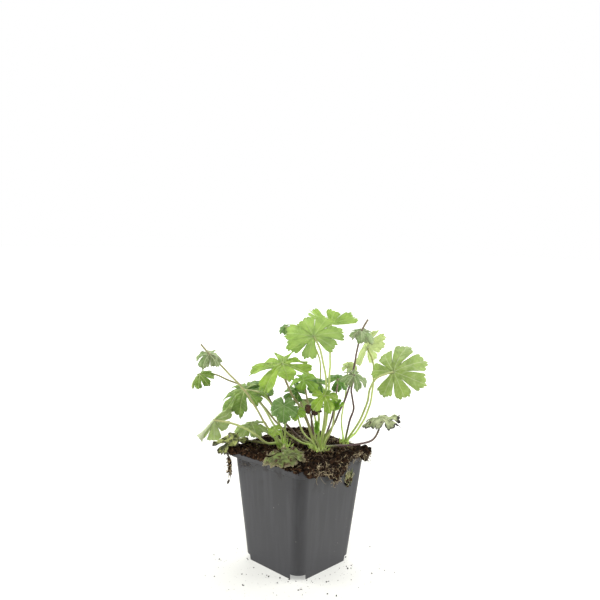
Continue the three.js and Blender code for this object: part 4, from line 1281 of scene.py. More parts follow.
LEAVES = [
    LeafPlan(
        "leaf_top_front", "middle", (1, 0),
        [(22, -8, 134), (21, -4, 167), (16, 0, 188)],
        (10, 4, 200), (-0.15, 0.85, 0.48), (-0.45, 0, 1), 28, 0.45,
        Foliage.TOP, Stalk.GREEN, unruly=1.6, fold=0.12,
    ),
    LeafPlan(
        "leaf_top_back", "middle", (2, 3),
        [(23, -2, 129), (25, 8, 165), (26, 28, 188)],
        (26, 34, 209), (0.15, 0.4, 0.9), (0.5, 0.8, 0), 26, -0.35,
        Foliage.TOP, Stalk.GREEN, unruly=1.6, fold=0.15, wave=0.8,
    ),
    LeafPlan(
        "leaf_left_high", "middle", (-6, -1),
        [(4, -9, 131), (-8, -9, 151), (-15, -14, 168)],
        (-16, -20, 179), (-0.1, -0.22, 0.97), (-1, -0.1, 0), 31, 0.8,
        Foliage.BRIGHT, Stalk.BLUSHED, lobe_width=0.9, unruly=2.2, fold=0.5, wave=0.6,
    ),
    LeafPlan(
        "leaf_right_high", "right", (3, -2),
        [(54, 4.5, 127), (58.3, -1, 144), (60.5, -7, 158), (66, -13, 168), (73, -15.5, 172)],
        (79, -15, 173.5), (-0.4, -0.85, 0.35), (0.85, 0, 0.45), 31, 0.95,
        Foliage.SOFT, Stalk.GREEN, lobe_width=0.93, cut=0.26, unruly=2.2, fold=0.2,
    ),
    LeafPlan(
        "leaf_pale_back", "right", (3.5, 1.5),
        [(50, 15, 111), (61, 25, 126), (66.5, 31, 150), (66, 37, 173)],
        (61, 40, 185), (-0.65, 0.6, 0.3), (-0.2, 0, 1), 21, 0.5,
        Foliage.PALE_BY_LIGHT, Stalk.GREEN, unruly=1.5, fold=0.1,
    ),
    LeafPlan(
        "stem_right", "middle", (4, -1),
        [(30, -6, 126), (42, -3, 156), (47, 0, 180), (52, 3, 206), (57, 4, 215.5)],
        None, (0.1, -0.35, 0.93), (0.9, -0.4, 0), 15.4, 1.2,
        Foliage.STEM, Stalk.REDDISH, unruly=2, fold=0.2, wave=1, crumple=0.6, blade_at=3,
    ),
    LeafPlan(
        "leaf_right_mid", "right", (0, -3),
        [(44, 6, 124), (47, 3, 136), (44, -8, 155)],
        (44.7, -20, 171), (0.15, -0.45, 0.88), (0.9, -0.4, 0), 17, 1.3,
        Foliage.STEM, Stalk.REDDISH, lobe_width=0.85, unruly=2, fold=0.2, wave=1, crumple=0.6,
    ),
    LeafPlan(
        "leaf_right_low", "middle", (7, -3),
        [(27, -12, 106), (39, -15, 108), (53, -18, 111), (63, -18, 115), (68, -16, 123)],
        (69, -14, 133), (-0.15, 0.05, 0.98), (0.9, -0.2, 0.1), 19, 0.6,
        Foliage.WITHERED, Stalk.REDDISH, unruly=1.5, fold=0.1, crumple=1.6,
    ),
    LeafPlan(
        "leaf_left_small", "middle", (-8, -3.6),
        [(0, -7, 108), (-15, 0, 117), (-34, 16, 134), (-46, 30, 144), (-64, 36, 151), (-84, 30, 159.5)],
        (-93, 26, 159), (-0.4, -0.5, 0.75), (-0.8, -0.3, -0.3), 17, 1.2,
        Foliage.FRESH, Stalk.BLUSHED, lobe_width=0.85, unruly=2, fold=0.3, close=-0.3, wave=0.8,
    ),
    LeafPlan(
        "stem_left", "left", (-3, -3),
        [(-16, -7, 104), (-35, -14, 133), (-45, -18, 151), (-77, -27, 187), (-84, -30, 196)],
        None, (0.1, -0.4, 0.9), (0.6, -0.7, 0), 14, 1.1,
        Foliage.STEM, Stalk.BLUSHED, unruly=2.2, fold=0.2, wave=1, crumple=1, blade_at=3,
    ),
    LeafPlan(
        "leaf_left_mid", "left", (-2, 0.5),
        [(-21, -2, 130), (-28, 0, 142), (-38, 2, 149)],
        (-49.6, 4.6, 150.4), (-0.12, -0.34, 0.93), (-0.8, -0.5, 0), 28, 1.05,
        Foliage.FRESH, Stalk.GREEN, lobe_width=0.85, unruly=2, fold=0.3, wave=1, crumple=0.5,
    ),
    LeafPlan(
        "leaf_left_dark", "middle", (-6.5, 2.5),
        [(2, 0, 108), (-12, 8, 119), (-25, 16, 134), (-32, 22, 145)],
        (-36, 26, 152), (0.2, -0.3, 0.93), (-0.3, 0.6, 0.5), 18, 1.2,
        Foliage.DARK, Stalk.REDDISH, unruly=1.6, fold=0.15, wave=0.8,
    ),
    LeafPlan(
        "leaf_left_droop", "left", (-6.5, -2.5),
        [(-27, -11, 107), (-39, -18, 117), (-49, -20, 123.6), (-62, -22, 128)],
        (-73.5, -22, 129.5), (-0.3, -0.85, 0.45), (-0.6, 0, -0.8), 24, 0.9,
        Foliage.SILVER, Stalk.GREEN, lobe_width=0.9, unruly=2, fold=0.15, close=-0.9, wave=0.8,
    ),
    LeafPlan(
        "leaf_left_low", "left", (-4.5, 3.3),
        [(-28, 3, 112), (-37, 6, 118)],
        (-43, 5, 119.5), (-0.1, -0.2, 0.97), (-0.9, -0.2, 0), 18, 0.8,
        Foliage.SOFT, Stalk.GREEN, unruly=1.6, fold=0.15, wave=0.8,
    ),
    LeafPlan(
        "leaf_rim_left", "left", (-7, 0.5),
        [(-28, -1, 104), (-43, 4, 104)],
        (-60, 5, 105.5), (-0.25, -0.15, 0.95), (-0.9, -0.1, 0), 18, 0.35,
        Foliage.ROTTEN, Stalk.BLUSHED, unruly=1.4, fold=0.05, crumple=1.2,
    ),
    LeafPlan(
        "leaf_rim_front", "left", (0, -6),
        [(-14, -22, 104.5), (-14, -34, 106.5)],
        (-13, -44, 108.5), (-0.1, -0.16, 0.98), (0.4, -0.9, 0), 19, 0.5,
        Foliage.SPOTTED, Stalk.BLUSHED, unruly=1.4, fold=0.05, crumple=1.2,
    ),
    LeafPlan(
        "leaf_front_hang", "left", (1, -3),
        [(-13, -9, 119), (-14, -16, 138)],
        (-14, -24, 144), (0, -0.75, 0.65), (0, -0.5, -0.85), 14.5, 1,
        Foliage.DULL, Stalk.GREEN, cut=0.6, fold=0.05, wave=0.4,
    ),
    LeafPlan(
        "leaf_middle_left", "middle", (-3, 1),
        [(9, -2, 131)],
        (2, 2, 161), (-0.1, -0.4, 0.9), (0.7, 0.3, 0.5), 15.4, 0.9,
        Foliage.VIVID, Stalk.BLUSHED, lobe_width=0.9, unruly=2, fold=0.4, wave=0.6,
    ),
    LeafPlan(
        "leaf_middle_back", "middle", (-4, 4),
        [(6, 2, 126)],
        (-4, 14, 148), (0, -0.6, 0.8), (-0.6, 0.2, 0.4), 13, 0.6,
        Foliage.DARK, Stalk.BLUSHED, lobe_width=0.85, unruly=2, fold=0.2, wave=0.8,
    ),
    LeafPlan(
        "leaf_middle", "middle", (-1, 3),
        [(16, 2, 130)],
        (15, 12, 157), (0, -0.45, 0.9), (-0.7, 0.3, 0.2), 12.5, 1.1,
        Foliage.DARK, Stalk.GREEN, unruly=1.6, fold=0.15, wave=0.8,
    ),
    LeafPlan(
        "leaf_middle_right", "middle", (5, 3),
        [(29, 6, 130)],
        (33.5, 24, 158), (0.1, -0.6, 0.8), (0.6, 0.5, 0.2), 13.5, 1.1,
        Foliage.DARK, Stalk.REDDISH, cut=0.55, unruly=1.4, fold=0.15, wave=0.8,
    ),
    LeafPlan(
        "leaf_bright", "middle", (3, -5),
        [(21, -15, 130)],
        (20, -22, 153), (0.1, -0.65, 0.75), (0.3, -0.4, -0.4), 15.5, 0.9,
        Foliage.BRIGHT, Stalk.GREEN, lobe_width=0.85, unruly=2, fold=0.35, wave=0.8,
    ),
    LeafPlan(
        "leaf_brown", "middle", (-3, -3),
        [(10, -9, 126)],
        (11, -11, 141), (0.1, -0.15, 1), (-0.6, -0.6, 0), 9.5, 1,
        Foliage.DEAD, Stalk.REDDISH, unruly=2, fold=0.05, wave=0.6, crumple=1.2,
    ),
    LeafPlan(
        "leaf_bud", "middle", (0, -5),
        [(13, -14, 114)],
        (14, -18, 122), (0, -0.7, 0.7), (0, 0.4, 0.9), 8, -0.5,
        Foliage.VIVID, Stalk.GREEN, fold=0.3, close=1.0, wave=0.3,
    ),
    LeafPlan(
        "leaf_small_middle", "middle", (-5, -5),
        [(2, -16, 120)],
        (-3, -19, 138.6), (-0.1, -0.6, 0.8), (-0.2, -0.6, -0.3), 9, 0.7,
        Foliage.VIVID, Stalk.GREEN, unruly=1.6, fold=0.2, wave=0.4,
    ),
    LeafPlan(
        "leaf_small_left", "left", (-4, -5.5),
        [(-18, -14, 110)],
        (-21, -18, 121), (-0.1, -0.6, 0.8), (-0.6, -0.2, 0.2), 7, 0.4,
        Foliage.BRIGHT, Stalk.GREEN, unruly=1.6, fold=0.3, wave=0.4,
    ),
    LeafPlan(
        "leaf_far_left", "left", (-1.5, 7),
        [(-22, 12, 115), (-36, 32, 130)],
        (-50, 48, 138), (-0.3, 0.3, 0.9), (-0.6, 0.7, 0), 22, 0.6,
        Foliage.FRESH, Stalk.GREEN, unruly=1.6, fold=0.15, wave=0.6,
    ),
    LeafPlan(
        "leaf_far_middle", "middle", (1, 7),
        [(16, 12, 112), (12, 34, 124)],
        (4, 50, 132), (0, 0.35, 0.93), (0, 1, 0), 22, 0.6,
        Foliage.FRESH, Stalk.GREEN, unruly=1.6, fold=0.15, wave=0.6,
    ),
    LeafPlan(
        "leaf_top_left", "middle", (-1.5, 6),
        [(17, 10, 128), (18, 28, 155), (15, 30, 180), (4, 26, 197), (-6, 23, 204)],
        (-15, 20, 205.5), (-0.3, -0.5, 0.8), (-0.8, -0.2, -0.2), 8.5, 0.8,
        Foliage.DARK, Stalk.GREEN, unruly=1.6, fold=0.2, wave=0.4,
    ),
    LeafPlan(
        "leaf_small_right", "middle", (6.3, -5.6),
        [(27, -16, 122)],
        (30, -15, 141), (0.1, -0.5, 0.85), (0.3, 0.2, 0.6), 8.5, -0.4,
        Foliage.VIVID, Stalk.GREEN, unruly=1.6, fold=0.3, close=0.5, wave=0.3,
    ),
    LeafPlan(
        "leaf_small_back", "right", (-3.5, 0),
        [(38, 20, 122), (42, 38, 146)],
        (44, 40, 167), (-0.2, -0.6, 0.75), (0.3, 0, 1), 8.5, 0.6,
        Foliage.PALE_BY_LIGHT, Stalk.GREEN, unruly=1.6, fold=0.2, wave=0.3,
    ),
]


# ---- pot and peat


def square_ring(half: float, corner: float, z: float, corner_steps: int = 12) -> Array:
    """A square with round corners, as points that run anticlockwise.

    Each corner is a quarter circle of the corner's radius about (half - corner, half - corner), turned to
    its quarter, and each flat side has points at 2, 10, 30, 50, 70, 90 and 98 hundredths of its length.

    Args:
        half: half the width across the flats.
        corner: the corners' radius.
        z: the height.
        corner_steps: steps round each corner.

    Returns:
        (points, 3) places in millimetres.
    """
    bow = np.linspace(0, math.pi / 2, corner_steps + 1)
    arc = half - corner + corner * np.stack([np.cos(bow), np.sin(bow)], -1)
    flat = np.array([0.02, 0.1, 0.3, 0.5, 0.7, 0.9, 0.98])[:, None]
    after = np.array([-(half - corner), half])
    quarter = np.concatenate([arc, arc[-1] + (after - arc[-1]) * flat])
    quarter_turn = np.array([[0, 1], [-1, 0]])
    turns = [np.linalg.matrix_power(quarter_turn, count) for count in range(4)]
    flat_ring = np.concatenate([quarter @ turn for turn in turns])
    return np.column_stack([flat_ring, np.full(len(flat_ring), z)])


@dataclass
class NurseryPot:
    """The square tapering pot, one moulding, with its rim band and the drain channels under its foot."""

    height: float = 100
    rim_half: float = 45
    rim_corner: float = 6.8
    rim_band: float = 7
    shoulder_half: float = 42.4
    foot_half: float = 33.9
    wall_corner: float = 10
    wall: float = 1.2
    inner_step: float = 3
    channel_width: float = 13
    channel_height: float = 4.7
    channel_start: float = 13
    channel_end: float = 60
    drain_radius: float = 3.5
    drain_at: float = 27
    drain_sides: int = 32
    sharp_angle: float = 28

    def wall_half(self, z: float | Array) -> float | Array:
        """Half the width of the tapering wall at a height."""
        return self.foot_half + (self.shoulder_half - self.foot_half) * z / (self.height - self.rim_band)

    def inner_half(self, z: float) -> float:
        """Half the width of the pot's inside, which follows the wall and steps out under the rim.

        Args:
            z: the height.

        Returns:
            Half the width.
        """
        step_foot = self.height - self.rim_band + self.wall
        share = np.clip((z - step_foot) / self.inner_step, 0, 1)
        narrow = self.wall_half(min(z, step_foot)) - self.wall
        return narrow + (self.rim_half - self.wall - narrow) * float(share)

    def profile(self) -> list[Triple]:
        """The moulding's section, from its foot up the wall, over the rim and down inside to the floor.

        Returns:
            Half the width, the corners' radius and the height of each ring.
        """
        under = self.height - self.rim_band
        top, half, corner = self.height, self.rim_half, self.rim_corner
        inside = half - self.wall
        foot, neck = self.foot_half, self.wall_half(under)
        outer = [(foot - 0.45, 9.55, 0.0), (foot - 0.12, 9.9, 0.12), (foot, 10, 0.5)]
        outer += [(self.wall_half(z), self.wall_corner, z) for z in (1.5, 12, 30, 50, 70, 85, 91, 92.4)]
        outer += [(neck + 0.15, 9.8, under - 0.1), (neck + 0.6, 9.2, under)]
        rim = [(half - 0.9, 7.1, under), (half - 0.35, 6.9, under + 0.12), (half - 0.08, 6.85, under + 0.45)]
        rim += [(half, corner, z) for z in (under + 1, under + 2, top - 2, top - 0.8)]
        rim += [(half - 0.08, corner, top - 0.3), (half - 0.32, corner, top - 0.06)]
        rim += [(half - 0.6, corner, top), (inside + 0.28, 6.0, top - 0.06)]
        rim += [(inside + 0.06, 5.7, top - 0.3), (inside, 5.6, top - 0.8)]
        inner = [(inside, 5.6, top - 2.2)]
        floor = self.channel_height + self.wall
        down = (94.2, 80, 50, 20, floor + 0.4)
        inner += [(self.inner_half(z), self.wall_corner - self.wall, z) for z in down]
        return outer + rim + inner + [(self.inner_half(floor) - 0.4, 7.0, floor)]

    def cutters(self) -> list[Surface]:
        """What is cut out of the foot, each shape made along +X and then turned to the four diagonals.

        Returns:
            The drain channels, as boxes, and the drain holes in their roofs, as round bars.
        """
        low, high, wide = -self.channel_height, self.channel_height, self.channel_width / 2
        box = [(x, y, z) for z in (low, high) for x, y in self.around(wide)]
        hole = [(x, y, z) for z in (0.5, 4 * high) for x, y in self.disc()]
        made = []
        for shape in (np.array(box), np.array(hole)):
            count = len(shape) // 2
            rows, poles = shape.reshape(2, count, 3), shape.reshape(2, count, 3).mean(axis=1)
            one = closed_skin(rows, poles[0], poles[1])
            angles = math.pi / 4 + math.pi / 2 * np.arange(4)
            cos, sin = np.cos(angles), np.sin(angles)
            spins = np.stack([cos, -sin, sin, cos], -1).reshape(4, 2, 2)
            flat = np.einsum("kij,nj->kni", spins, one.points[:, :2])
            tall = np.broadcast_to(one.points[:, 2], flat.shape[:2])
            starts = len(one.points) * np.arange(4)
            faces = [(block + starts[:, None, None]).reshape(-1, block.shape[1]) for block in one.faces]
            made.append(Surface(MM * np.concatenate([flat, tall[..., None]], -1).reshape(-1, 3), faces))
        return made

    def around(self, wide: float) -> list[Pair]:
        """The corners of one channel, along +X before it is turned to its diagonal."""
        start, end = self.channel_start, self.channel_end
        return [(start, -wide), (end, -wide), (end, wide), (start, wide)]

    def disc(self) -> list[Pair]:
        """The edge of one drain hole, on +X before it is turned to its diagonal."""
        angle = np.linspace(0, math.tau, self.drain_sides, endpoint=False)
        return list(zip(self.drain_at + self.drain_radius * np.cos(angle), self.drain_radius * np.sin(angle)))

    def build(self, finish: Material) -> None:
        """Makes the pot: the moulding's skin, less its channels and drain holes.

        Args:
            finish: its material.
        """
        rows = np.stack([square_ring(*ring) for ring in self.profile()])
        floor = self.channel_height + self.wall
        skin = closed_skin(MM * rows, np.zeros(3), MM * np.array([0, 0, floor]))
        pot = make_piece("moulded_pot", [skin], [finish], ("pot",))
        for cutter in self.cutters():
            tool = make_piece("pot_cutter", [cutter], [], ())
            cut = pot.modifiers.new("cut", "BOOLEAN")
            cut.operation, cut.solver, cut.object = "DIFFERENCE", "EXACT", tool
            worked = pot.evaluated_get(bpy.context.evaluated_depsgraph_get())
            whole = bpy.data.meshes.new_from_object(worked)
            pot.modifiers.clear()
            pot.data = whole
            bpy.data.objects.remove(tool)
        pot.data.name = "moulded_pot"
        pot.data.set_sharp_from_angle(angle=math.radians(self.sharp_angle))


def peat_height(x: Array, y: Array) -> Array:
    """The peat's height in millimetres at places of the part's frame, in millimetres."""
    cos, sin = math.cos(-PLANT_TURN), math.sin(-PLANT_TURN)
    return GROUND.height(np.stack([x * cos - y * sin, x * sin + y * cos], -1))


@dataclass
class PeatBed:
    """The peat in the pot: a crumbly mass, loose crumbs and fibres on it, and the spill over the rim."""

    pot: NurseryPot
    gap: float = 0.5
    rows: int = 84
    loose_crumbs: int = 2300
    rim_crumbs: int = 700
    spilled_crumbs: int = 3600
    left_crumbs: int = 1300
    fibres: int = 480
    hanging_fibres: int = 160
    straws: int = 36
    tassel_roots: int = 60
    tassel_at: Triple = (-3, -47, 84.5)
    litter_pieces: int = 130
    litter_at: Pair = (-2, 14)
    litter_spread: float = 8
    pale_chips: int = 620
    dark_patch_crumbs: int = 480
    dark_patch_at: Pair = (25, 89.5)
    dark_patch_spread: Pair = (6.5, 2.6)
    seed: int = 21
    # How far the spill lies on the rim before it hangs, how high it starts and how high its crest is.
    lap: float = 6.5
    spill_top: float = 101.5
    crest: float = 101.3
    # A fibre's bow to each side as a share of its length, and the sides of its tube.
    fibre_bow: float = 0.22
    fibre_sides: int = 4
    # How low the spill hangs on the -Y wall: place along X, and height.
    hang: tuple[Pair, ...] = (
        (-41, 97.5), (-36, 94), (-28, 92.5), (-20, 92), (-12, 89), (-7, 85.5), (-3.5, 83), (0, 84), (5, 87),
        (9, 91), (13, 97), (20, 98.5), (29, 98), (33, 94.5), (36, 92.5), (39, 94), (42, 97.5),
    )
    # The same on the -X wall: place along Y, and height.
    left_hang: tuple[Pair, ...] = (
        (-43, 97), (-36, 99), (-28, 98), (-20, 99.2), (-8, 98.2), (4, 98.8), (14, 97.4), (24, 98.4), (33, 97),
        (40, 94), (43, 96),
    )

    def hang_foot(self, x: Array) -> Array:
        """The height at which the spill ends, at places along the -Y wall."""
        return np.interp(x, *np.array(self.hang).T)

    def relief(self, x: Array, y: Array) -> Array:
        """The crumbly relief on the peat's form: 0.7 a + 0.9 (0.6 - |b|) + 0.5 (0.6 - |c|).

        Here a, b and c are smooth noises whose crests are about 10, 6 and 2.6 mm apart.

        Args:
            x: places along X, in millimetres.
            y: places along Y.

        Returns:
            How far the surface lies over the form, in millimetres.
        """
        flat = np.stack([x, y], -1)
        coarse = 0.7 * ripples(flat, 10, self.seed)
        clods = 0.9 * (0.6 - np.abs(ripples(flat, 6.0, self.seed + 1)))
        grains = 0.5 * (0.6 - np.abs(ripples(flat, 2.6, self.seed + 2, 20)))
        return coarse + clods + grains

    def bed(self) -> Surface:
        """The mass: rings that rise inside the pot's wall, then shrink over the top to its middle.

        Returns:
            The closed mass.
        """
        inner = self.pot.rim_half - self.pot.wall - self.gap
        floor = self.pot.channel_height + self.pot.wall + self.gap
        sides = [(self.pot.inner_half(z) - self.gap, 7.4, z) for z in (floor, 30, 60, 90, 94.2)]
        low = np.stack([square_ring(*side, 24) for side in sides + [(inner, 5.6, 97.2)]])
        share = np.linspace(1, 0.015, self.rows)[:, None]
        edge = square_ring(inner, 5.6, 0, 24)
        x, y = share * edge[:, 0], share * edge[:, 1]
        z = peat_height(x, y) + self.relief(x, y) * ramp(1 - share, 0, 0.05) + 0.9 * ramp(share, 0.9, 1)
        rows = np.concatenate([low, np.stack([x, y, z], -1)])
        return closed_skin(MM * rows, MM * np.array([0, 0, floor]), MM * np.array([0, 0, z[-1].mean()]))

    def scattered(self) -> Surface:
        """Loose crumbs all over the top, most of them small.

        Returns:
            One surface of all the crumbs.
        """
        rng = np.random.default_rng(self.seed + 5)
        half = self.pot.rim_half - self.pot.wall - 1.2
        x, y = rng.uniform(-half, half, (2, self.loose_crumbs))
        size = 0.35 + 1.5 * rng.uniform(0, 1, self.loose_crumbs) ** 3
        z = peat_height(x, y) + self.relief(x, y) + 0.35 * size
        return crumbs(MM * np.column_stack([x, y, z]), MM * size, self.seed + 6)

    def along_rim(self) -> Surface:
        """Crumbs that lie on the rim of the two front walls.

        Returns:
            One surface of all the crumbs.
        """
        rng = np.random.default_rng(self.seed + 7)
        amount = self.rim_crumbs
        along = rng.uniform(-44, 43, amount)
        across = -44.3 + np.abs(rng.normal(0, 1.1, amount))
        on_left = rng.uniform(0, 1, amount) < 0.5
        x, y = np.where(on_left, across, along), np.where(on_left, along, across)
        size = 0.4 + 1.1 * rng.uniform(0, 1, amount) ** 2
        z = 99.7 + 0.6 * size + 0.5 * rng.uniform(0, 1, amount)
        return crumbs(MM * np.column_stack([x, y, z]), MM * size, self.seed + 8)

    def spill(self) -> Surface:
        """The clump that hangs over the -Y rim: crumbs thickest over the rim, and smaller lower down.

        A crumb's way is a seeded share of the lap on the rim and of the drop to the spill's foot.

        Returns:
            One surface of all the crumbs.
        """
        rng = np.random.default_rng(self.seed + 9)
        amount = self.spilled_crumbs
        x = rng.uniform(-41, 42, amount)
        foot = self.hang_foot(x)
        down = rng.uniform(0, 1, amount) ** 0.9
        way = down * (self.lap + self.spill_top - foot)
        over = np.clip(way / self.lap, 0, 1)
        z = self.crest - np.maximum(0, way - self.lap)
        depth = np.interp(self.spill_top - foot, [3, 8, 20], [0.5, 1.8, 3.2])
        y = -39.5 - 5.6 * over - depth * rng.uniform(0, 1, amount) * ramp(over, 0.6, 1) * (1 - 0.45 * down)
        z = z + 0.9 * rng.normal(0, 1, amount) * (1 - over) + 0.6 * np.sin(0.5 * x) * (1 - over)
        size = (0.4 + 1.9 * rng.uniform(0, 1, amount) ** 3) * (1 - 0.35 * down)
        y = np.where(z < 99.8, np.minimum(y, -45.15 - 0.55 * size), y)
        return crumbs(MM * np.column_stack([x, y, z]), MM * size, self.seed + 10)

    def dusting(self) -> Surface:
        """Crumbs along the -X rim, on its top and a little way down its outside.

        Returns:
            One surface of all the crumbs.
        """
        rng = np.random.default_rng(self.seed + 14)
        amount = self.left_crumbs
        y = 43 - 86 * rng.uniform(0, 1, amount) ** 1.25
        foot = np.interp(y, *np.array(self.left_hang).T)
        down = rng.uniform(0, 1, amount)
        way = down * (2.5 + 100.6 - foot)
        z = 100.5 - np.maximum(0, way - 2.5)
        x = -42.7 - np.minimum(way, 2.4)
        size = 0.3 + 0.8 * rng.uniform(0, 1, amount) ** 2
        x = np.where(z < 99.9, np.minimum(x, -45.1 - 0.5 * size), x)
        return crumbs(MM * np.column_stack([x, y, z]), MM * size, self.seed + 15)

    def dark_patch(self) -> Surface:
        """A patch of fine dark crumbs on the -X wall, under its rim.

        Returns:
            One surface of all the crumbs.
        """
        rng = np.random.default_rng(self.seed + 25)
        shift = np.array(self.dark_patch_spread) * rng.normal(size=(self.dark_patch_crumbs, 2))
        y, z = (np.array(self.dark_patch_at) + shift).T
        on_rim = z > self.pot.height - self.pot.rim_band
        x = -np.where(on_rim, self.pot.rim_half, self.pot.wall_half(z)) - 0.1
        size = 0.08 + 0.12 * rng.uniform(0, 1, self.dark_patch_crumbs) ** 2
        places = np.column_stack([x, y.clip(-43, 37), z.clip(80, 98.5)])
        return crumbs(MM * places, MM * size, self.seed + 26)

    def fibre(
        self,
        foot: Array,
        way: Array,
        length: Array,
        sag: Array,
        seed: int,
        thick: float,
        pale: float = 0,
        steps: int = 8,
    ) -> Surface:
        """Thin curved fibres: foot + way t + a seeded bow sin(pi t) - sag t^2, with t from 0 to 1.

        Args:
            foot: (fibres, 3) where each starts, in millimetres.
            way: (fibres, 3) unit directions.
            length: (fibres,) lengths in millimetres.
            sag: (fibres,) how far each end drops.
            seed: seed of the bows and shades.
            thick: the usual radius in millimetres.
            pale: the least shade of a fibre, from 0.
            steps: points along each fibre.

        Returns:
            One surface of all the fibres.
        """
        rng = np.random.default_rng(seed)
        t = np.linspace(0, 1, steps)[None, :, None]
        bow = self.fibre_bow * rng.normal(size=(len(foot), 1, 3)) * length[:, None, None]
        drop = np.array([0, 0, 1]) * sag[:, None, None] * t**2
        path = foot[:, None] + way[:, None] * length[:, None, None] * t + bow * np.sin(math.pi * t) - drop
        path = path + 0.12 * bow * np.sin(3 * math.pi * t)
        radii = thick * rng.uniform(0.6, 1.5, (len(foot), 1)) * (1 - 0.6 * t[:, :, 0])
        made = tubes(MM * path, MM * radii, self.fibre_sides, unit(rng.normal(size=(len(foot), 3))))
        shades = rng.uniform(pale, 1, len(foot))
        walls = np.repeat(shades, self.fibre_sides * steps)
        made.values["shade"] = np.concatenate([walls, np.repeat(shades, 2)])
        made.finish = 2
        return made

    def strands(self) -> list[Surface]:
        """All the fibres.

        Returns:
            First those on the peat, which are the lying ones, the litter and the pale chips, and then those
            of the spill, which are the hanging ones, the straws, the tassel and its pale chips.
        """
        rng = np.random.default_rng(self.seed + 11)
        amount = self.fibres
        x, y = rng.uniform(-42, 42, (2, amount))
        z = peat_height(x, y) + self.relief(x, y) + 0.3
        flat = rng.uniform(0, math.tau, amount)
        way = unit(np.column_stack([np.cos(flat), np.sin(flat), rng.uniform(-0.05, 0.3, amount)]))
        length, sag = rng.uniform(3, 13, amount), rng.uniform(0, 2, amount)
        lying = self.fibre(np.column_stack([x, y, z]), way, length, sag, self.seed + 12, 0.16)
        amount = self.hanging_fibres
        x = rng.uniform(-38, 40, amount)
        end = self.hang_foot(x)
        z = rng.uniform(0, 1, amount) * (self.spill_top - end) + end
        aside, out = rng.normal(0, 1, amount), rng.uniform(-0.5, 0.05, amount)
        way = unit(np.column_stack([aside, out, rng.normal(-0.1, 0.6, amount)]))
        foot = np.column_stack([x, -46 - rng.uniform(0, 1.6, amount), z])
        length, sag = rng.uniform(2, 7.5, amount), rng.uniform(0, 2, amount)
        hanging = self.fibre(foot, way, length, sag, self.seed + 13, 0.17)
        amount = self.straws
        x = rng.uniform(-30, 43, amount)
        end = self.hang_foot(x)
        z = rng.uniform(0.25, 1, amount) * (self.spill_top - end) + end
        foot = np.column_stack([x, -46.4 - rng.uniform(0, 1.6, amount), z])
        flat = rng.uniform(0, math.tau, amount)
        way = unit(np.column_stack([np.cos(flat), rng.uniform(-0.2, 0, amount), np.sin(flat)]))
        length, sag = rng.uniform(2.5, 6, amount), rng.uniform(0, 1, amount)
        straws = self.fibre(foot, way, length, sag, self.seed + 16, 0.21, 0.7)
        return [lying, self.litter(), self.chips(False), hanging, straws, self.tassel(), self.chips(True)]

    def chips(self, spilled: bool) -> Surface:
        """Short pale bits of fibre.

        Args:
            spilled: whether they lie in the spill, with half as many, or on the front half of the peat.

        Returns:
            One surface of all the bits.
        """
        rng = np.random.default_rng(self.seed + 19 + spilled)
        amount = self.pale_chips // (1 + spilled)
        x = 43 - 82 * rng.uniform(0, 1, amount)
        if spilled:
            foot = self.hang_foot(x)
            z = foot + rng.uniform(0.1, 1, amount) * (self.spill_top - foot)
            y = -46.2 - rng.uniform(0, 2.4, amount) * ramp(101 - z, 0, 5)
        else:
            y = -43 + 45 * rng.uniform(0, 1, amount) ** 1.4
            z = peat_height(x, y) + self.relief(x, y) + rng.uniform(0.1, 0.9, amount)
        way = unit(rng.normal(size=(amount, 3)) * np.array([1, 0.6, 0.8]))
        feet = np.column_stack([x, y, z])
        length = rng.uniform(0.8, 3.4, amount)
        return self.fibre(feet, way, length, np.zeros(amount), self.seed + 21 + spilled, 0.24, 0.35, 4)

    def tassel(self) -> Surface:
        """Fine roots that end the spill where it hangs lowest.

        Returns:
            One surface of all the roots.
        """
        rng = np.random.default_rng(self.seed + 23)
        amount = self.tassel_roots
        feet = np.array(self.tassel_at) + rng.normal(size=(amount, 3)) * np.array([2.4, 0.5, 1.2])
        way = unit(rng.normal(size=(amount, 3)) * np.array([0.5, 0.2, 0.3]) - np.array([0, 0, 1]))
        return self.fibre(feet, way, rng.uniform(1.5, 5, amount), np.zeros(amount), self.seed + 24, 0.15, 0.1)

    def litter(self) -> Surface:
        """Dry stalk litter on the peat behind the middle crown: thick fibres, brown to straw.

        Returns:
            One surface of all the litter.
        """
        rng = np.random.default_rng(self.seed + 17)
        amount = self.litter_pieces
        cos, sin = math.cos(PLANT_TURN), math.sin(PLANT_TURN)
        shift = self.litter_spread * rng.normal(size=(amount, 2)).clip(-2, 2)
        right, back = (np.array(self.litter_at) + shift).T
        x, y = right * cos - back * sin, right * sin + back * cos
        z = peat_height(x, y) + rng.uniform(0.4, 2.2, amount)
        flat = rng.uniform(0, math.tau, amount)
        way = unit(np.column_stack([np.cos(flat), np.sin(flat), rng.uniform(-0.1, 0.3, amount)]))
        feet = np.column_stack([x, y, z])
        length, sag = rng.uniform(4, 12, amount), rng.uniform(0, 2, amount)
        return self.fibre(feet, way, length, sag, self.seed + 18, 0.3, 0.3)

    def build(self, finishes: list[Material]) -> None:
        """Makes the peat in the pot, and the piece that has spilled over its rim.

        Args:
            finishes: the mass's, the crumbs' and the fibres' materials.
        """
        loose = [self.scattered(), self.along_rim()]
        spilled = [self.spill(), self.dusting(), self.dark_patch()]
        for one in loose + spilled:
            one.finish = 1
        strands = self.strands()
        make_piece("peat_and_fibres", [self.bed(), *loose, *strands[:3]], finishes, ("soil",))
        make_piece("spilled_peat", [*spilled, *strands[3:]], finishes, ())


# ---- loose rootlet and moss


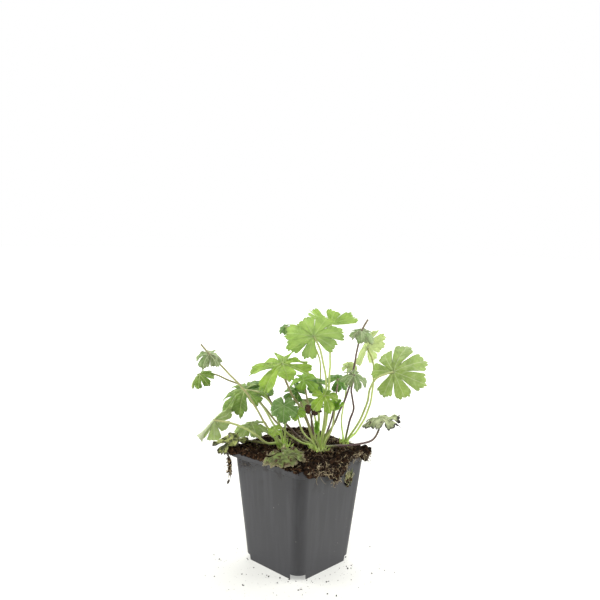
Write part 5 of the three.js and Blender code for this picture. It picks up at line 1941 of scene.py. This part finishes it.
@dataclass
class LooseRootlet:
    """A rootlet that lies over the left corner of the rim and hangs outside, with a clump of peat on it."""

    stops: tuple[Triple, ...] = (
        (-46, 3, 96), (-50, 2, 100.6), (-58, 1, 102.2), (-62.5, 0, 101.8), (-64, 0, 98.5), (-62.8, -1, 90),
        (-60.5, -1, 76),
    )
    clump_at: Triple = (-61.8, -1, 84)
    thread: tuple[Triple, ...] = ((-60.9, -1, 72), (-62.0, -1, 68.6), (-63.2, -1, 66.8))
    steps: int = 60
    side_roots: int = 60
    side_steps: int = 7
    side_sides: int = 4
    clump_crumbs: int = 90
    strung_crumbs: int = 330
    thread_steps: int = 20
    thread_bits: int = 26
    seed: int = 41

    def build(self, finishes: list[Material]) -> None:
        """Makes the rootlet: its main line, fine side roots, and the crumbs that cling to it.

        The main line wanders off its stops by smooth noise, and a side root's line is
        start + way t + a seeded bow sin(pi t), with t from 0 to 1.

        Args:
            finishes: the fibre's and the crumbs' materials.
        """
        rng = np.random.default_rng(self.seed)
        path = smooth_path(from_front(self.stops), self.steps)
        path = path + 0.5 * MM * np.stack([ripples(path, 9 * MM, self.seed + i) for i in range(3)], -1)
        main = tubes(path[None], MM * np.linspace(0.5, 0.3, self.steps)[None], 7)
        main.values["shade"] = np.full(len(main.points), 0.25)
        amount, steps, sides = self.side_roots, self.side_steps, self.side_sides
        starts = path[rng.integers(16, 58, amount)]
        way = unit(rng.normal(size=(amount, 3)) * np.array([1, 1, 0.5]) - np.array([0, 0, 0.8]))
        t = np.linspace(0, 1, steps)[None, :, None]
        length = MM * rng.uniform(2, 6, (amount, 1, 1))
        bow = 0.3 * length * rng.normal(size=(amount, 1, 3)) * np.sin(math.pi * t)
        lines = starts[:, None] + way[:, None] * length * t + bow
        side = tubes(lines, MM * 0.16 * np.ones((amount, steps)), sides, unit(rng.normal(size=(amount, 3))))
        walls = np.repeat(rng.uniform(0.3, 1, amount), sides * steps)
        side.values["shade"] = np.concatenate([walls, np.full(2 * amount, 0.6)])
        packed, strung = self.clump_crumbs, self.strung_crumbs
        places = from_front(self.clump_at) + MM * rng.normal(size=(packed, 3)) * np.array([0.9, 0.9, 3.8])
        along = path[rng.integers(14, self.steps, strung)] + MM * rng.normal(0, 0.75, (strung, 3))
        sizes = MM * np.concatenate([rng.uniform(0.3, 0.9, packed), rng.uniform(0.2, 0.65, strung)])
        clump = crumbs(np.concatenate([places, along]), sizes, self.seed + 1)
        clump.values["shade"] = np.repeat(rng.uniform(0, 1, packed + strung) ** 0.8, len(LUMP_CORNERS))
        end = smooth_path(from_front(self.stops[-1:] + self.thread), self.thread_steps)
        thread = tubes(end[None], MM * np.linspace(0.3, 0.12, self.thread_steps)[None], 5)
        thread.values["shade"] = np.full(len(thread.points), 0.1)
        amount = self.thread_bits
        places = end[rng.integers(12, self.thread_steps, amount)] + MM * rng.normal(0, 0.5, (amount, 3))
        bits = crumbs(places, MM * rng.uniform(0.3, 0.7, amount), self.seed + 2)
        clump.finish = bits.finish = 1
        make_piece("loose_rootlet", [main, side, clump, thread, bits], finishes, ("hanging_root",))


@dataclass
class MossTuft:
    """A tuft of dry moss that clings to the -Y wall."""

    pot: NurseryPot
    centre: Pair = (18.5, 79.0)
    half_size: Pair = (4.6, 7.0)
    shoots: int = 120
    shoot_steps: int = 6
    shoot_sides: int = 4
    shoot_radius: float = 0.24
    peat_crumbs: int = 60
    seed: int = 51

    def build(self, finishes: list[Material]) -> None:
        """Makes the tuft: fine upright shoots whose feet follow the wall, and a little peat among them.

        A shoot's line is foot + way t + a seeded bend t^2, and its radius is shoot_radius (1 - 0.8 t), with
        t from 0 to 1.

        Args:
            finishes: the shoots' and the peat's materials.
        """
        rng = np.random.default_rng(self.seed)
        amount = self.shoots
        x = self.centre[0] + self.half_size[0] * 0.5 * rng.normal(0, 1, amount).clip(-2, 2)
        z = self.centre[1] + self.half_size[1] * (0.4 * rng.normal(0, 1, amount).clip(-2.2, 1.6) - 0.15)
        y = -self.pot.wall_half(z) - 0.15
        length = rng.uniform(2.5, 7.0, amount)
        aside, out = rng.normal(0, 0.42, amount), rng.uniform(-0.5, -0.02, amount)
        way = unit(np.column_stack([aside, out, np.ones(amount)]))
        t = np.linspace(0, 1, self.shoot_steps)[None, :, None]
        path = np.column_stack([x, y, z])[:, None] + way[:, None] * length[:, None, None] * t
        bend = 0.14 * length[:, None, None] * rng.normal(size=(amount, 1, 3)) * np.array([1, 0.3, 0.3])
        radii = MM * self.shoot_radius * (1 - 0.8 * t[:, :, 0]) * np.ones((amount, 1))
        lean = np.tile([[1.0, 0.2, 0.0]], (amount, 1))
        tuft = tubes(MM * (path + bend * t**2), radii, self.shoot_sides, lean)
        shades = rng.uniform(0, 1, amount)
        walls = np.repeat(shades, self.shoot_sides * self.shoot_steps)
        tuft.values["shade"] = np.concatenate([walls, np.repeat(shades, 2)])
        few = self.peat_crumbs
        places = np.column_stack([x, y - 0.3, z])[:few]
        peat = crumbs(MM * places, MM * rng.uniform(0.3, 0.9, few), self.seed + 1)
        peat.finish = 1
        make_piece("moss_tuft", [tuft, peat], finishes, ())


# ---- studio


@dataclass
class Studio:
    """The pale floor, the soft lights round the plant and the camera."""

    eye: Triple = (0, -596.2, 285.2)
    pitch: float = math.radians(5.112)
    roll: float = math.radians(1.292)
    pan: float = math.radians(-0.251)
    focal_px: float = 688.82
    frame_px: float = 600
    sensor: float = 36
    # How bright the surround is behind and beside the plant, and in front of it.
    surround: float = 0.7
    front_surround: float = 0.03
    floor_half: float = 12
    paper: str = "#b4b4ae"
    paper_glow: str = "#fffffb"
    # The paper's glow, which is painted light, at the pot and far off, and the distances in metres between
    # which it grows; the dimmer glow at the pot paints a soft shade round it.
    glow: Pair = (0.44, 1.0)
    glow_reach: Pair = (0.09, 1.2)
    aim_height: float = 110
    # Crumbs on the floor: how many, the way in which most lie and their spread in degrees, their reach.
    fallen_crumbs: int = 240
    fallen_towards: float = 220
    fallen_spread: float = 70
    fallen_from: float = 42
    fallen_over: float = 50
    fallen_seed: int = 61

    def camera(self) -> None:
        """Aims the camera: ahead, right and up from its pan and pitch, the last two turned by its roll."""
        right = np.array([math.cos(self.pan), -math.sin(self.pan), 0])
        flat = math.cos(self.pitch)
        ahead = np.array([math.sin(self.pan) * flat, math.cos(self.pan) * flat, -math.sin(self.pitch)])
        up = np.cross(right, ahead)
        cos, sin = math.cos(self.roll), math.sin(self.roll)
        axes = [cos * right + sin * up, cos * up - sin * right, -ahead]
        data = bpy.data.cameras.new("camera")
        data.sensor_width = self.sensor
        data.lens = self.focal_px / self.frame_px * self.sensor
        data.clip_start, data.clip_end = 0.02, 50
        made = bpy.data.objects.new("camera", data)
        bpy.context.scene.collection.objects.link(made)
        place = np.eye(4)
        place[:3, :3] = np.stack([turned(axis) for axis in axes], axis=1)
        place[:3, 3] = from_front(self.eye)
        made.matrix_world = Matrix(place.tolist())
        bpy.context.scene.camera = made

    def light(self, name: str, at: Triple, size: float, power: float) -> None:
        """A soft square light that looks at the plant.

        Args:
            name: its name.
            at: its place in the plant, in millimetres.
            size: its side, in metres.
            power: in watts.
        """
        data = bpy.data.lights.new(name, "AREA")
        data.shape, data.size, data.energy = "SQUARE", size, power
        made = bpy.data.objects.new(name, data)
        bpy.context.scene.collection.objects.link(made)
        place = from_front(at)
        back = unit(place - from_front((0, 0, self.aim_height)))
        side = unit(np.cross([0, 0, 1] if abs(back[2]) < 0.95 else [0, 1, 0], back))
        turn = np.eye(4)
        turn[:3, :3] = np.stack([side, np.cross(back, side), back], axis=1)
        turn[:3, 3] = place
        made.matrix_world = Matrix(turn.tolist())
        made.visible_camera = False

    def floor(self) -> None:
        """A wide plain paper floor with painted light: it glows faintly at the pot, which paints a soft shade
        round it, and more and more far from it.
        """
        half = self.floor_half
        corners = [(-half, -half, 0), (half, -half, 0), (half, half, 0), (-half, half, 0)]
        mesh = bpy.data.meshes.new("floor")
        mesh.from_pydata(corners, [], [(0, 1, 2, 3)])
        floor = bpy.data.objects.new("floor", mesh)
        bpy.context.scene.collection.objects.link(floor)
        paper, add = new_material("studio_paper")
        reach = add("VectorMath", [add("TexCoord", [], "Object")], "Value", operation="LENGTH")
        glow = add("MapRange", [reach, *self.glow_reach, *self.glow], **SMOOTH)
        shine = add("Emission", {"Color": self.paper_glow, "Strength": glow})
        matt = add("BsdfDiffuse", {"Color": self.paper})
        add("OutputMaterial", [add("AddShader", [shine, matt])])
        mesh.materials.append(paper)

    def fallen(self, finish: Material) -> None:
        """Crumbs of peat that have fallen on the floor round the pot, most of them in front of it.

        Args:
            finish: their material.
        """
        rng = np.random.default_rng(self.fallen_seed)
        towards, spread = math.radians(self.fallen_towards), math.radians(self.fallen_spread)
        angle = rng.normal(towards, spread, self.fallen_crumbs)
        reach = self.fallen_from + self.fallen_over * rng.uniform(0, 1, self.fallen_crumbs) ** 1.6
        size = 0.14 + 0.6 * rng.uniform(0, 1, self.fallen_crumbs) ** 6
        places = np.column_stack([reach * np.cos(angle), reach * np.sin(angle), 0.6 * size])
        lumps = crumbs(MM * places, MM * size, self.fallen_seed)
        mesh = bpy.data.meshes.new("fallen_crumbs")
        mesh.from_pydata(lumps.points.tolist(), [], lumps.faces[0].tolist())
        shades = lumps.values["shade"].astype(np.float32)
        mesh.attributes.new("shade", "FLOAT", "POINT").data.foreach_set("value", shades)
        mesh.materials.append(finish)
        fallen = bpy.data.objects.new("fallen_crumbs", mesh)
        bpy.context.scene.collection.objects.link(fallen)

    def world(self) -> None:
        """A white surround, dimmer towards the front for the light that it gives."""
        world = bpy.data.worlds.new("surround")
        world.use_nodes = True
        world.node_tree.nodes.clear()
        add = partial(add_node, world.node_tree)
        way = add("TexCoord", [], "Generated")
        facing = add("VectorMath", [way, tuple(turned((0, -1, 0)))], "Value", operation="DOT_PRODUCT")
        dim = add("MapRange", [facing, -0.1, 0.7, self.surround, self.front_surround], **SMOOTH)
        seen = add("LightPath", [], "Is Camera Ray")
        strength = add("Mix", {0: seen, 2: dim, 3: 1.0}, data_type="FLOAT")
        add("OutputWorld", [add("Background", {"Color": "#ffffff", "Strength": strength})])
        bpy.context.scene.world = world

    def build(self) -> None:
        """Sets up the studio."""
        self.camera()
        self.floor()
        self.world()
        self.light("left_light", (-1100, 60, 500), 0.9, 14)
        self.light("right_light", (1100, 60, 520), 0.9, 15)
        self.light("back_light", (150, 900, 900), 1.0, 12)
        self.light("front_light", (-150, -750, 900), 0.7, 5.5)
        view = bpy.context.scene.view_settings
        view.view_transform, view.look, view.exposure, view.gamma = "Standard", "None", 0.0, 1.0


# ---- assembly


SLOTS = {
    Foliage.TOP: "leaf_young", Foliage.BRIGHT: "leaf_young",
    Foliage.PALE_BY_LIGHT: "leaf_young", Foliage.VIVID: "leaf_young",
    Foliage.FRESH: "leaf_fresh", Foliage.SOFT: "leaf_fresh", Foliage.SILVER: "leaf_fresh",
    Foliage.DULL: "leaf_dark", Foliage.DARK: "leaf_dark", Foliage.STEM: "leaf_dark",
    Foliage.WITHERED: "leaf_withered", Foliage.ROTTEN: "leaf_withered", Foliage.SPOTTED: "leaf_withered",
    Foliage.DEAD: "leaf_reddish",
}


def main() -> None:
    logging.basicConfig(level=logging.INFO, format="%(name)s %(message)s")
    studio = Studio()
    studio.build()
    finishes = {kind: kind.value.material() for kind in (*Foliage, *Stalk)}
    crumb = Peat("peat_crumb", "#140c06", "#4a3423", "#bca680", True).material()
    studio.fallen(crumb)
    fibre = PlantFibre().material()
    pot = NurseryPot()
    pot.build(MouldedPolypropylene().material())
    PeatBed(pot).build([Peat().material(), crumb, fibre])
    tissue = CrownTissue().material()
    hair = LeafHair().material()
    for crown in CROWNS.values():
        crown.build(tissue)
    for number, plan in enumerate(LEAVES):
        dress = [finishes[plan.foliage], finishes[plan.stalk], hair]
        Leaf(plan, LEAF_SEED + number).build(dress, SLOTS[plan.foliage])
    LooseRootlet().build([fibre, crumb])
    MossTuft(pot).build([MossShoot().material(), crumb])
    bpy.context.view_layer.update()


if __name__ == "__main__":
    main()
